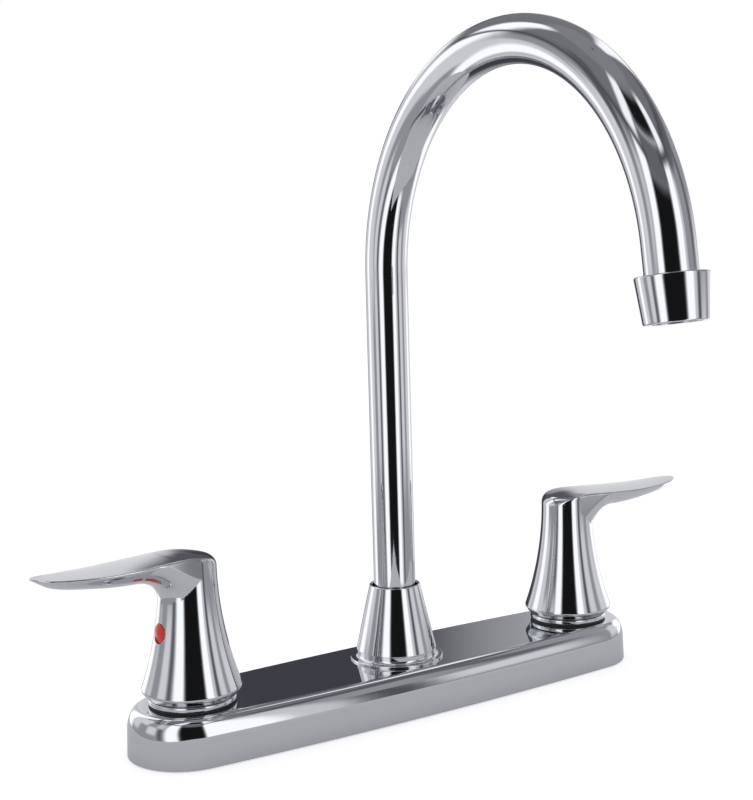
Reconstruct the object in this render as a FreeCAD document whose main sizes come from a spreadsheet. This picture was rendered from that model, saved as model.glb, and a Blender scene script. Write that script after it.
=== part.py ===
import FreeCAD, Part
import math
import os
import re
import Sketcher
from FreeCAD import Placement, Rotation, Vector

# Two handle kitchen faucet: a deck plate with two quarter-turn lever handles on the
# standard eight inch centres, and a swivelling gooseneck spout between them.
#
# Frame: +Z up, the front of the sink towards -Y, the hot side towards -X. The origin is the
# mouth of the centre fixing hole in the underside, straight below the spout's axis.
# Lengths are millimetres and angles are degrees.

doc = FreeCAD.newDocument("kitchen_faucet")
sheet = doc.addObject("Spreadsheet::Sheet", "sizes")

SIZES = (
    ("fit_gap", 0.1, "radial play of a turning fit"),
    ("close_gap", 0.05, "radial play of a pushed or threaded fit"),
    ("free_gap", 0.3, "play between pieces that move past each other"),
    ("edge_break", 0.4, "chamfer of a turned edge"),
    ("edge_ease", 0.6, "wider chamfer of an edge that shows or leads in"),
    # Deck plate and the gasket inside its rim.
    ("handle_spacing", 203.2, "between the two handle axes, eight inches"),
    ("plate_overhang", 27.6, "from a handle axis to the end of the plate"),
    ("plate_half_width", 28.3, "from the centre line to the bowed long side"),
    ("plate_end_radius", 25.0, "plan radius of each end"),
    ("plate_height", 20.0, "underside to top"),
    ("plate_edge_radius", 8.0, "rolled edge round the top"),
    ("plate_wall", 2.0, "wall of the plate"),
    ("gasket_thickness", 2.0, "rubber pad inside the rim"),
    # Valve bodies, in their own frame with the outlet towards +X.
    ("inlet_radius", 10.4, "half inch threaded inlet"),
    ("inlet_depth", 11.0, "length of the inlet thread"),
    ("inlet_wall", 3.1, "wall round the inlet"),
    ("port_radius", 5.0, "water way up to the discs"),
    ("seat_height", 14.0, "floor of the valve chamber"),
    ("chamber_radius", 10.3, "bore that holds the cartridge"),
    ("body_shoulder_radius", 16.8, "shoulder under the plate"),
    ("body_shoulder_bottom", 8.0, "underside of that shoulder"),
    ("body_neck_radius", 14.0, "threaded neck through the plate"),
    ("body_neck_top", 29.5, "top of the neck"),
    ("neck_hole_gap", 0.4, "radial gap between a neck and its hole in the plate"),
    # Water ways between the valves and the spout.
    ("tube_level", 10.5, "height of the crossover tubes"),
    ("tube_radius", 4.75, "outside radius of a crossover tube"),
    ("tube_wall", 0.8, "wall of a crossover tube"),
    ("tube_socket_depth", 6.5, "how far a tube goes into its socket"),
    ("outlet_boss_radius", 6.5, "boss round a tube socket"),
    ("outlet_boss_reach", 24.0, "from an axis to the mouth of a tube socket"),
    ("passage_radius", 2.3, "upright water way in a valve body"),
    ("passage_distance", 13.9, "from the valve axis to that water way"),
    ("passage_top", 16.6, "top of that water way"),
    # Spout hub.
    ("hub_shoulder_radius", 17.0, "shoulder under the plate"),
    ("hub_foot_radius", 9.0, "foot that reaches the underside"),
    ("hub_neck_radius", 13.5, "threaded neck through the plate"),
    ("hub_neck_top", 35.0, "top of that neck"),
    ("hub_floor", 6.5, "floor of the water chamber"),
    ("hub_chamber_radius", 9.8, "water chamber under the swivel"),
    ("swivel_seat", 16.0, "ledge under the swivel sleeve"),
    ("swivel_bore_radius", 11.2, "bore that the sleeve turns in"),
    ("fixing_radius", 3.0, "centre fixing thread"),
    ("fixing_depth", 5.0, "depth of that thread"),
    # Swivel sleeve, its seals and its clip.
    ("sleeve_shoulder", 31.0, "top of the wide part of the sleeve"),
    ("sleeve_top", 37.0, "top of the sleeve"),
    ("sleeve_top_radius", 10.4, "narrow part of the sleeve"),
    ("sleeve_bore_radius", 7.0, "water way through the sleeve"),
    ("spout_seal_section", 0.9, "radius of the seal's round section"),
    ("spout_seal_low", 20.2, "height of the lower seal"),
    ("spout_seal_high", 25.2, "height of the upper seal"),
    ("clip_thickness", 1.2, "retaining clip"),
    ("clip_outer_radius", 12.2, "outer edge of the clip"),
    ("clip_opening", 40.0, "angle of the clip's open side"),
    # Spout tube.
    ("spout_radius", 9.25, "outside radius of the spout tube"),
    ("spout_wall", 1.2, "wall of the spout tube"),
    ("spout_bottom", 28.0, "lower end of the tube, inside the sleeve"),
    ("spout_rise", 191.3, "height at which the bend starts"),
    ("spout_bend_radius", 90.0, "centre line radius of the bend"),
    ("spout_bend_angle", 172.0, "how far the tube turns over"),
    ("spout_end_straight", 10.4, "straight stretch above the aerator"),
    ("spout_end_insert", 6.0, "stretch of tube inside the aerator"),
    ("spout_turn", 2.1, "how far the spout at rest stands towards the hot side"),
    # Collar round the foot of the spout.
    ("collar_flange_radius", 20.8, "widest part of the collar"),
    ("collar_flange_height", 2.4, "thickness of its flange"),
    ("collar_rim_round", 0.9, "rounding of the flange's rim"),
    ("collar_cone_radius", 17.9, "foot of the cone"),
    ("collar_cone_bottom", 4.45, "foot of the cone above the plate"),
    ("collar_top", 53.3, "top rim of the collar"),
    ("collar_top_radius", 11.2, "outside radius of that rim"),
    ("collar_wall", 1.6, "wall of the cone"),
    ("collar_mouth_radius", 10.1, "open mouth round the tube"),
    ("collar_mouth_depth", 5.0, "straight stretch of that mouth"),
    ("collar_thread_top", 26.5, "top of the thread inside the collar"),
    # Aerator, measured from its upper rim along the end of the tube.
    ("aerator_top_radius", 12.7, "upper rim"),
    ("aerator_bottom_radius", 11.2, "lower rim"),
    ("aerator_length", 16.2, "rim to rim"),
    ("fitting_radius", 10.8, "threaded fitting on the end of the tube"),
    ("fitting_top", 0.6, "upper face of that fitting"),
    ("fitting_bottom", 8.0, "lower face of that fitting"),
    ("washer_thickness", 1.4, "rubber washer in the aerator"),
    ("washer_lip", 1.0, "how far the washer stands in from the tube's bore"),
    ("insert_radius", 9.6, "flow insert"),
    ("insert_height", 4.2, "flow insert"),
    ("screen_thickness", 0.8, "outlet screen"),
    ("lip_radius", 8.8, "inside of the lip that holds the screen"),
    ("screen_hole_radius", 0.75, "holes of the screen"),
    ("insert_hole_radius", 1.1, "holes of the flow insert"),
    # Handles, in their own frame with the lever towards +X.
    ("lever_turn", 3.4, "how far a shut lever stands towards the front"),
    ("skirt_bottom", 23.4, "lower edge of the handle"),
    ("skirt_bottom_radius", 18.6, "that edge"),
    ("skirt_crease", 26.5, "height of the crease round the skirt"),
    ("skirt_radius", 20.9, "widest part, at the crease"),
    ("waist_height", 78.0, "height at which the body is narrowest"),
    ("waist_radius", 11.9, "narrowest part"),
    ("skirt_wall", 2.0, "wall of the skirt"),
    ("socket_bottom", 44.0, "underside of the solid part round the stem"),
    ("crest_distance", 5.0, "highest point of the top, out from the axis"),
    ("crest_height", 82.3, "highest point of the top near the axis"),
    ("heel_radius", 30.0, "side-view radius of the rounded heel"),
    ("dip_slope", 6.9, "slope where the heel runs into the dip"),
    ("dip_radius", 220.0, "side-view radius of the dip"),
    ("lever_reach", 68.0, "from the axis to the tip"),
    ("lever_width", 24.4, "width of the lever near the body"),
    ("lever_root", 30.0, "where the lever starts to narrow"),
    ("root_thickness", 7.2, "depth of the lever there"),
    ("lever_middle", 46.0, "middle station of the lever"),
    ("middle_width", 20.4, "width there"),
    ("middle_thickness", 5.8, "depth there"),
    ("lever_end", 60.0, "last full station of the lever"),
    ("end_width", 14.8, "width there"),
    ("end_thickness", 3.9, "depth there"),
    ("tip_width", 4.0, "width at the very tip"),
    ("tip_thickness", 1.0, "depth at the very tip"),
    ("gusset_radius", 8.0, "fillet where the lever meets the body"),
    # Index button and the set screw behind it.
    ("index_height", 51.0, "height of the button and the screw"),
    ("button_radius", 4.0, "index button"),
    ("button_seat", 11.7, "inner face of the button, from the handle's axis"),
    ("button_face", 14.9, "outer face of the button, from the handle's axis"),
    ("button_dome_radius", 14.0, "dome of that face"),
    ("screw_radius", 2.5, "set screw"),
    ("screw_length", 6.3, "set screw"),
    ("screw_socket_radius", 1.3, "hexagon in its end, across the corners"),
    ("screw_socket_depth", 2.5, "hexagon in its end"),
    # Trim ring under the handle.
    ("ring_radius", 18.3, "ring that clamps the plate"),
    ("ring_top", 23.1, "upper face of that ring"),
    ("ring_seal_thickness", 0.4, "black seal under the ring"),
    ("ring_seal_radius", 17.6, "outer edge of that seal"),
    # Cartridge, stem and discs.
    ("seat_lip", 1.2, "from the seat up to the lower edge of the cartridge"),
    ("basket_radius", 8.4, "lower part of the cartridge"),
    ("basket_bore_radius", 7.0, "room for the discs"),
    ("basket_top", 22.5, "start of the threaded part"),
    ("disc_room_top", 24.0, "roof of the room for the discs"),
    ("hexagon_bottom", 29.6, "underside of the hexagon"),
    ("hexagon_top", 35.0, "top of the hexagon"),
    ("hexagon_flats", 22.0, "across the flats"),
    ("gland_radius", 7.0, "neck above the hexagon"),
    ("gland_top", 41.0, "top of the cartridge"),
    ("window_width", 7.0, "side window of the cartridge"),
    ("window_height", 4.2, "side window of the cartridge"),
    ("seal_thickness", 1.6, "rubber seat seal"),
    ("disc_thickness", 2.3, "ceramic disc"),
    ("disc_film", 0.05, "water film between the discs"),
    ("stem_foot_radius", 6.6, "foot that drives the moving disc"),
    ("stem_radius", 4.9, "stem inside the cartridge"),
    ("spline_radius", 4.0, "stem inside the handle"),
    ("stem_top", 60.0, "top of the stem"),
    ("stem_flat", 3.2, "flat for the set screw, from the axis"),
    ("stem_flat_below", 4.0, "how far that flat runs below the screw's centre"),
    ("stem_seal_section", 0.75, "radius of the stem seal's round section"),
    ("stem_seal_height", 30.5, "height of the stem seal"),
    ("stem_clip_thickness", 0.8, "clip on the stem"),
    ("stem_clip_radius", 6.4, "outer edge of that clip"),
    ("stem_groove_radius", 4.1, "bottom of the clip's groove"),
)

for row, (name, number, note) in enumerate(SIZES, start=1):
    sheet.set("A%d" % row, name)
    sheet.set("B%d" % row, str(number))
    sheet.set("C%d" % row, note)
    sheet.setAlias("B%d" % row, name)
doc.recompute()

FULL_TURN = 360.0
FAR = "100"  # further than any cut has to reach
CLEAR = "3"  # how far a trimmed shape or a cut runs past the face that ends it
NEAR = 1e-3  # closer than this, two levels or two volumes count as the same


def bound(words):
    """Turns a formula in the sheet's names into an expression of the document."""
    return re.sub(r"\b[a-z][a-z_]+\b(?!\()", lambda found: "sizes." + found.group(0), words)


def value(words):
    """The number that such a formula gives now."""
    return float(sheet.evalExpression(bound(words)))


def add_body(label):
    body = doc.addObject("PartDesign::Body", label)
    body.Label = label
    return body


def add_sketch(body, name, plane_role, offset="0"):
    """An empty sketch on one of the body's own planes, moved along its normal."""
    sketch = body.newObject("Sketcher::SketchObject", name)
    plane = [found for found in body.Origin.OriginFeatures if found.Role == plane_role][0]
    sketch.AttachmentSupport = [(plane, "")]
    sketch.MapMode = "FlatFace"
    sketch.AttachmentOffset = Placement(Vector(0, 0, value(offset)), Rotation())
    sketch.setExpression(".AttachmentOffset.Base.z", bound(offset))
    return sketch


def pin_point(sketch, element, end, across, up):
    """Holds one point of a sketch at formulas for its two coordinates."""
    for kind, words in (("DistanceX", across), ("DistanceY", up)):
        number = value(words)
        index = sketch.addConstraint(Sketcher.Constraint(kind, -1, 1, element, end, number))
        sketch.setExpression("Constraints[%d]" % index, bound(words))


def add_loop(sketch, corners):
    """A closed outline. A corner is (across, up), or (across, up, radius, way) where an arc
    leaves it: way is +1 for an anticlockwise arc and -1 for a clockwise one."""
    count = len(corners)
    points = [Vector(value(corner[0]), value(corner[1]), 0) for corner in corners]
    starts = []
    ends = []
    for place, corner in enumerate(corners):
        start = points[place]
        end = points[(place + 1) % count]
        if len(corner) == 2:
            element = sketch.addGeometry(Part.LineSegment(start, end), False)
            starts.append((element, 1))
            ends.append((element, 2))
            continue
        radius = value(corner[2])
        way = corner[3]
        chord = end - start
        normal = Vector(-chord.y, chord.x, 0).normalize() * way
        rise = math.sqrt(max(radius ** 2 - (chord.Length / 2) ** 2, 0))
        centre = (start + end) * 0.5 + normal * rise
        first, last = (start, end) if way > 0 else (end, start)
        first_angle = math.atan2(first.y - centre.y, first.x - centre.x)
        last_angle = math.atan2(last.y - centre.y, last.x - centre.x)
        if last_angle <= first_angle:
            last_angle += 2 * math.pi
        circle = Part.Circle(centre, Vector(0, 0, 1), radius)
        element = sketch.addGeometry(Part.ArcOfCircle(circle, first_angle, last_angle), False)
        index = sketch.addConstraint(Sketcher.Constraint("Radius", element, radius))
        sketch.setExpression("Constraints[%d]" % index, bound(corner[2]))
        starts.append((element, 1 if way > 0 else 2))
        ends.append((element, 2 if way > 0 else 1))
    for place, corner in enumerate(corners):
        pin_point(sketch, starts[place][0], starts[place][1], corner[0], corner[1])
        after = starts[(place + 1) % count]
        sketch.addConstraint(Sketcher.Constraint("Coincident", *ends[place], *after))


def add_circle(sketch, across, up, radius):
    centre = Vector(value(across), value(up), 0)
    element = sketch.addGeometry(Part.Circle(centre, Vector(0, 0, 1), value(radius)), False)
    pin_point(sketch, element, 3, across, up)
    index = sketch.addConstraint(Sketcher.Constraint("Radius", element, value(radius)))
    sketch.setExpression("Constraints[%d]" % index, bound(radius))


def add_feature(body, kind, name, profile, **settings):
    """A feature on a profile. A setting is a formula if it is text, else a plain value."""
    feature = body.newObject("PartDesign::" + kind, name)
    feature.Profile = profile
    for key, setting in settings.items():
        if isinstance(setting, str):
            feature.setExpression(key, bound(setting))
        else:
            setattr(feature, key, setting)
    profile.Visibility = False
    return feature


def check_cut(body, feature, before):
    """A cut that points away from the solid takes nothing and says nothing."""
    doc.recompute()
    if feature.Shape.isNull() or feature.Shape.Volume > before - NEAR:
        raise RuntimeError("%s takes nothing off %s" % (feature.Label, body.Label))


def turn(body, name, corners, plane_role="XZ_Plane"):
    """Solid turned round Z. The corners are (radius, height)."""
    sketch = add_sketch(body, name + "_profile", plane_role)
    add_loop(sketch, corners)
    axis = (sketch, ["V_Axis"])
    feature = add_feature(body, "Revolution", name, sketch, ReferenceAxis=axis)
    feature.Angle = FULL_TURN
    doc.recompute()
    return feature


def turn_away(body, name, corners, plane_role="XZ_Plane"):
    """Takes a turned shape off the body."""
    before = body.Shape.Volume
    sketch = add_sketch(body, name + "_profile", plane_role)
    add_loop(sketch, corners)
    axis = (sketch, ["V_Axis"])
    feature = add_feature(body, "Groove", name, sketch, ReferenceAxis=axis)
    feature.Angle = FULL_TURN
    check_cut(body, feature, before)
    return feature


def cut_along(body, name, plane_role, draw, length, offset="0", reverse=False, both=False):
    """Cuts what draw puts into a sketch, for a length along the plane's normal."""
    before = body.Shape.Volume
    sketch = add_sketch(body, name + "_profile", plane_role, offset)
    draw(sketch)
    feature = add_feature(body, "Pocket", name, sketch, Length=length)
    feature.Reversed = reverse
    feature.Midplane = both
    check_cut(body, feature, before)
    return feature


def repeat_round(body, feature, name, copies):
    """Copies of a feature, evenly round the body's own Z axis."""
    pattern = body.newObject("PartDesign::PolarPattern", name)
    pattern.Originals = [feature]
    pattern.Axis = (feature.Profile[0], ["N_Axis"])
    pattern.Angle = FULL_TURN
    pattern.Occurrences = copies
    body.Tip = pattern
    doc.recompute()
    return pattern


def place_on_side(piece, side, turned):
    """Stands a valve-side piece on its own axis. In its own frame +X is outwards for a
    handle and towards the spout for a valve body, so those two are turned differently."""
    sign = SIDE_SIGN[side]
    piece.Placement = Placement(Vector(0, 0, 0), Rotation(Vector(0, 0, 1), value(turned)))
    piece.setExpression(".Placement.Base.x", bound("%d * handle_spacing / 2" % sign))
    piece.setExpression(".Placement.Rotation.Angle", bound(turned))


SIDE_SIGN = {"hot": -1, "cold": 1}
HANDLE_TURN = {"hot": "180 + lever_turn", "cold": "0 - lever_turn"}
BODY_TURN = {"hot": "0", "cold": "180"}
PLATE_HOLE = "body_neck_radius + neck_hole_gap"


# ---------------------------------------------------------------- deck plate

def plate_outline(sketch, inset):
    """Two end arcs and two long bowed arcs, each tangent to the next, one inset inwards."""
    end_centre = "(handle_spacing / 2 + plate_overhang - plate_end_radius)"
    bow = "(plate_half_width - plate_end_radius)"
    side_offset = "((%s ^ 2 - %s ^ 2) / (2 * %s))" % (end_centre, bow, bow)
    centre_span = "(%s + %s)" % (side_offset, bow)
    end_radius = "(plate_end_radius - %s)" % inset
    side_radius = "(%s + plate_half_width - %s)" % (side_offset, inset)
    across = "(%s + %s * %s / %s)" % (end_centre, end_radius, end_centre, centre_span)
    up = "(%s * %s / %s)" % (end_radius, side_offset, centre_span)
    add_loop(sketch, [
        (across, "0 - " + up, end_radius, 1),
        (across, up, side_radius, 1),
        ("0 - " + across, up, end_radius, 1),
        ("0 - " + across, "0 - " + up, side_radius, 1),
    ])


def make_deck_plate():
    body = add_body("deck_plate")
    sketch = add_sketch(body, "plate_plan", "XY_Plane")
    plate_outline(sketch, "0")
    add_feature(body, "Pad", "plate_block", sketch, Length="plate_height")
    doc.recompute()
    block = body.Tip
    top_edges = []
    for number, edge in enumerate(block.Shape.Edges, start=1):
        if edge.BoundBox.ZMin > value("plate_height") - NEAR:
            top_edges.append("Edge%d" % number)
    rolled = body.newObject("PartDesign::Fillet", "plate_rolled_edge")
    rolled.Base = (block, top_edges)
    rolled.setExpression("Radius", bound("plate_edge_radius"))
    doc.recompute()
    for number, face in enumerate(rolled.Shape.Faces, start=1):
        if face.BoundBox.ZMax < NEAR:
            underside = "Face%d" % number
    hollow = body.newObject("PartDesign::Thickness", "plate_hollow")
    hollow.Base = (rolled, [underside])
    hollow.Reversed = True
    hollow.setExpression("Value", bound("plate_wall"))
    doc.recompute()

    def holes(sketch):
        for sign in SIDE_SIGN.values():
            add_circle(sketch, "%d * handle_spacing / 2" % sign, "0", PLATE_HOLE)
        add_circle(sketch, "0", "0", "hub_neck_radius + neck_hole_gap")

    cut_along(body, "plate_holes", "XY_Plane", holes, FAR, reverse=True)
    return body


def make_base_gasket():
    body = add_body("base_gasket")
    sketch = add_sketch(body, "gasket_plan", "XY_Plane")
    plate_outline(sketch, "(plate_wall + free_gap)")
    for sign in SIDE_SIGN.values():
        across = "%d * handle_spacing / 2" % sign
        add_circle(sketch, across, "0", "inlet_radius + inlet_wall + free_gap")
    add_circle(sketch, "0", "0", "hub_foot_radius + free_gap")
    add_feature(body, "Pad", "gasket_sheet", sketch, Length="gasket_thickness")
    doc.recompute()
    return body


# ---------------------------------------------------------------- water ways

def add_outlet_boss(body, name, reverse):
    """Round boss that a crossover tube goes into, from the axis out along X."""
    sketch = add_sketch(body, name + "_profile", "YZ_Plane")
    add_circle(sketch, "0", "tube_level", "outlet_boss_radius")
    boss = add_feature(body, "Pad", name, sketch, Length="outlet_boss_reach")
    boss.Reversed = reverse
    doc.recompute()


def cut_tube_socket(body, name, start, sign, radius, length):
    """A level bore on the tubes' centre line, from start outwards along X."""

    def bore(sketch):
        add_circle(sketch, "0", "tube_level", radius)

    offset = "%d * (%s)" % (sign, start)
    cut_along(body, name, "YZ_Plane", bore, length, offset=offset, reverse=sign > 0)


def make_valve_body(side):
    body = add_body(side + "_valve_body")
    under_plate = "plate_height - plate_wall"
    turn(body, "casting", [
        ("0", "0"),
        ("inlet_radius + inlet_wall", "0"),
        ("inlet_radius + inlet_wall", "body_shoulder_bottom"),
        ("body_shoulder_radius", "body_shoulder_bottom"),
        ("body_shoulder_radius", under_plate),
        ("body_neck_radius", under_plate),
        ("body_neck_radius", "body_neck_top"),
        ("0", "body_neck_top"),
    ])
    add_outlet_boss(body, "outlet_boss", False)
    turn_away(body, "inlet_and_chamber", [
        ("0", "0"),
        ("inlet_radius", "0"),
        ("inlet_radius", "inlet_depth"),
        ("port_radius", "inlet_depth"),
        ("port_radius", "seat_height"),
        ("chamber_radius", "seat_height"),
        ("chamber_radius", "body_neck_top"),
        ("0", "body_neck_top"),
    ])
    mouth = "outlet_boss_reach - tube_socket_depth"
    cut_tube_socket(body, "tube_socket", mouth, 1, "tube_radius + close_gap", FAR)
    cut_tube_socket(body, "tube_passage", "passage_distance", 1,
                    "tube_radius - tube_wall",
                    "%s - passage_distance + %s" % (mouth, CLEAR))

    def passage(sketch):
        add_circle(sketch, "passage_distance", "0", "passage_radius")

    cut_along(body, "upright_passage", "XY_Plane", passage, "passage_top - tube_level",
              offset="tube_level", reverse=True)

    def slot(sketch):
        add_loop(sketch, [
            ("port_radius", "0 - passage_radius"),
            ("passage_distance", "0 - passage_radius"),
            ("passage_distance", "passage_radius"),
            ("port_radius", "passage_radius"),
        ])

    cut_along(body, "chamber_slot", "XY_Plane", slot, "passage_top - seat_height",
              offset="seat_height", reverse=True)
    place_on_side(body, side, BODY_TURN[side])
    return body


def make_spout_hub():
    body = add_body("spout_hub")
    under_plate = "plate_height - plate_wall"
    turn(body, "casting", [
        ("0", "0"),
        ("hub_foot_radius", "0"),
        ("hub_foot_radius", "gasket_thickness"),
        ("hub_shoulder_radius", "gasket_thickness"),
        ("hub_shoulder_radius", under_plate),
        ("hub_neck_radius", under_plate),
        ("hub_neck_radius", "hub_neck_top"),
        ("0", "hub_neck_top"),
    ])
    add_outlet_boss(body, "cold_boss", False)
    add_outlet_boss(body, "hot_boss", True)
    clip_groove = "sleeve_shoulder + free_gap"
    turn_away(body, "swivel_bore", [
        ("0", "hub_floor"),
        ("hub_chamber_radius", "hub_floor"),
        ("hub_chamber_radius", "swivel_seat"),
        ("swivel_bore_radius", "swivel_seat"),
        ("swivel_bore_radius", clip_groove),
        ("clip_outer_radius + fit_gap", clip_groove),
        ("clip_outer_radius + fit_gap", clip_groove + " + clip_thickness + fit_gap"),
        ("swivel_bore_radius", clip_groove + " + clip_thickness + fit_gap"),
        ("swivel_bore_radius", "hub_neck_top"),
        ("0", "hub_neck_top"),
    ])
    mouth = "outlet_boss_reach - tube_socket_depth"
    for side, sign in SIDE_SIGN.items():
        cut_tube_socket(body, side + "_socket", mouth, sign, "tube_radius + close_gap", FAR)
        cut_tube_socket(body, side + "_passage", "0", sign, "tube_radius - tube_wall",
                        "%s + %s" % (mouth, CLEAR))

    def fixing(sketch):
        add_circle(sketch, "0", "0", "fixing_radius")

    cut_along(body, "centre_fixing", "XY_Plane", fixing, "fixing_depth", reverse=True)
    return body


def make_crossover_tube(side):
    body = add_body(side + "_crossover_tube")
    start = "(outlet_boss_reach - tube_socket_depth)"
    sketch = add_sketch(body, "tube_section", "YZ_Plane", start)
    add_circle(sketch, "0", "tube_level", "tube_radius")
    add_circle(sketch, "0", "tube_level", "tube_radius - tube_wall")
    add_feature(body, "Pad", "tube", sketch, Length="handle_spacing / 2 - 2 * " + start)
    doc.recompute()
    turned = "180" if side == "hot" else "0"
    body.Placement = Placement(Vector(0, 0, 0), Rotation(Vector(0, 0, 1), value(turned)))
    return body


# ---------------------------------------------------------------- spout

UPRIGHT = Vector(0, 0, 1)
SPOUT_TURN = "0 - spout_turn"
CLIP_TURN = -90.0  # brings the open side of the clip to the front


def make_spout_tube():
    body = add_body("spout_tube")
    section = add_sketch(body, "tube_section", "XY_Plane", "spout_bottom")
    add_circle(section, "0", "0", "spout_radius")
    add_circle(section, "0", "0", "spout_radius - spout_wall")
    path = add_sketch(body, "tube_path", "YZ_Plane")
    rise = value("spout_rise")
    bend = value("spout_bend_radius")
    sweep = math.radians(value("spout_bend_angle"))
    bend_end = Vector(-bend * (1 - math.cos(sweep)), rise + bend * math.sin(sweep), 0)
    last = value("spout_end_straight + spout_end_insert")
    tip = bend_end + Vector(-math.sin(sweep), math.cos(sweep), 0) * last
    bottom = Vector(0, value("spout_bottom"), 0)
    top = Vector(0, rise, 0)
    circle = Part.Circle(Vector(-bend, rise, 0), Vector(0, 0, 1), bend)
    path.addGeometry([Part.LineSegment(bottom, top),
                      Part.ArcOfCircle(circle, 0, sweep),
                      Part.LineSegment(bend_end, tip)], False)
    path.addConstraint([Sketcher.Constraint("Coincident", 0, 2, 1, 1),
                        Sketcher.Constraint("Coincident", 1, 2, 2, 1)])
    pin_point(path, 0, 1, "0", "spout_bottom")
    pin_point(path, 0, 2, "0", "spout_rise")
    pin_point(path, 1, 3, "0 - spout_bend_radius", "spout_rise")
    across = "0 - spout_bend_radius * (1 - cos(spout_bend_angle))"
    up = "spout_rise + spout_bend_radius * sin(spout_bend_angle)"
    straight = "(spout_end_straight + spout_end_insert)"
    index = path.addConstraint(Sketcher.Constraint("DistanceX", -1, 1, 1, 2, bend_end.x))
    path.setExpression("Constraints[%d]" % index, bound(across))
    pin_point(path, 2, 2, across + " - %s * sin(spout_bend_angle)" % straight,
              up + " + %s * cos(spout_bend_angle)" % straight)
    pipe = add_feature(body, "AdditivePipe", "gooseneck", section)
    pipe.Spine = (path, ["Edge1", "Edge2", "Edge3"])
    doc.recompute()
    body.Placement = Placement(Vector(0, 0, 0), Rotation(UPRIGHT, value(SPOUT_TURN)))
    body.setExpression(".Placement.Rotation.Angle", bound(SPOUT_TURN))
    return body


def make_spout_sleeve():
    body = add_body("spout_sleeve")
    wide = "swivel_bore_radius - fit_gap"
    floor = "swivel_seat + free_gap"
    seal_bed = "swivel_bore_radius - 2 * spout_seal_section - fit_gap"
    corners = [("sleeve_bore_radius", floor), (wide, floor)]
    for level in ("spout_seal_low", "spout_seal_high"):
        low = "%s - spout_seal_section - fit_gap" % level
        high = "%s + spout_seal_section + fit_gap" % level
        corners += [(wide, low), (seal_bed, low), (seal_bed, high), (wide, high)]
    corners += [
        (wide, "sleeve_shoulder"),
        ("sleeve_top_radius", "sleeve_shoulder"),
        ("sleeve_top_radius", "sleeve_top"),
        ("spout_radius + close_gap", "sleeve_top"),
        ("spout_radius + close_gap", "spout_bottom"),
        ("sleeve_bore_radius", "spout_bottom"),
    ]
    turn(body, "sleeve", corners)
    return body


def make_ring_seals(label, centre_radius, section, levels):
    """Round rubber rings of one size, as separate solids of one piece list entry."""
    rings = []
    for number, level in enumerate(levels, start=1):
        ring = doc.addObject("Part::Torus", "%s_ring_%d" % (label, number))
        ring.setExpression("Radius1", bound(centre_radius))
        ring.setExpression("Radius2", bound(section))
        ring.setExpression(".Placement.Base.z", bound(level))
        rings.append(ring)
    if len(rings) == 1:
        rings[0].Label = label
        return rings[0]
    pair = doc.addObject("Part::Compound", label)
    pair.Label = label
    pair.Links = rings
    doc.recompute()
    return pair


def open_ring(body, inner, outer, bottom, thickness, opening):
    """A flat ring with one side cut away, as a spring clip has."""
    turn(body, "clip_ring", [
        (inner, bottom),
        (outer, bottom),
        (outer, bottom + " + " + thickness),
        (inner, bottom + " + " + thickness),
    ])

    def gap(sketch):
        half = "%s * tan(%s / 2)" % (FAR, opening)
        add_loop(sketch, [("0", "0"), (FAR, "0 - " + half), (FAR, half)])

    cut_along(body, "clip_gap", "XY_Plane", gap, FAR, reverse=True)


def make_retaining_clip():
    body = add_body("retaining_clip")
    open_ring(body, "sleeve_top_radius + free_gap / 2", "clip_outer_radius",
              "sleeve_shoulder + free_gap + close_gap", "clip_thickness", "clip_opening")
    body.Placement = Placement(Vector(0, 0, 0), Rotation(UPRIGHT, CLIP_TURN))
    return body


def make_collar():
    body = add_body("collar")
    foot = "(plate_height + collar_cone_bottom)"
    slope = "((collar_cone_radius - collar_top_radius) / (collar_top - %s))" % foot
    mouth = "(collar_top - collar_mouth_depth)"
    flange_top = "plate_height + collar_flange_height"
    thread_wall = "collar_cone_radius - (collar_thread_top - %s) * %s - collar_wall"
    thread_wall = thread_wall % (foot, slope)
    turn(body, "bell", [
        ("hub_neck_radius + close_gap", "plate_height"),
        ("collar_flange_radius - collar_rim_round", "plate_height", "collar_rim_round", 1),
        ("collar_flange_radius", "plate_height + collar_rim_round"),
        ("collar_flange_radius", flange_top + " - collar_rim_round", "collar_rim_round", 1),
        ("collar_flange_radius - collar_rim_round", flange_top),
        ("collar_cone_radius", "plate_height + collar_cone_bottom"),
        ("collar_top_radius", "collar_top"),
        ("collar_mouth_radius", "collar_top"),
        ("collar_mouth_radius", mouth),
        ("collar_top_radius + collar_mouth_depth * %s - collar_wall" % slope, mouth),
        (thread_wall, "collar_thread_top"),
        ("hub_neck_radius + close_gap", "collar_thread_top"),
    ])
    return body


# ---------------------------------------------------------------- aerator

def place_on_outlet(piece):
    """Stands a piece of the aerator on the end of the tube, its +Z along the flow."""
    across = ("0 - spout_bend_radius * (1 - cos(spout_bend_angle))"
              " - spout_end_straight * sin(spout_bend_angle)")
    up = ("spout_rise + spout_bend_radius * sin(spout_bend_angle)"
          " + spout_end_straight * cos(spout_bend_angle)")
    swivel = "placement(vector(0; 0; 0); rotation(vector(0; 0; 1); %s))" % SPOUT_TURN
    outlet = "placement(vector(0; %s; %s); rotation(vector(1; 0; 0); spout_bend_angle))"
    piece.setExpression("Placement", bound(swivel + " * " + outlet % (across, up)))
    return piece


INSERT_TOP = "fitting_bottom + washer_thickness"
SCREEN_TOP = INSERT_TOP + " + insert_height"
LIP_TOP = SCREEN_TOP + " + screen_thickness"


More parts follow.
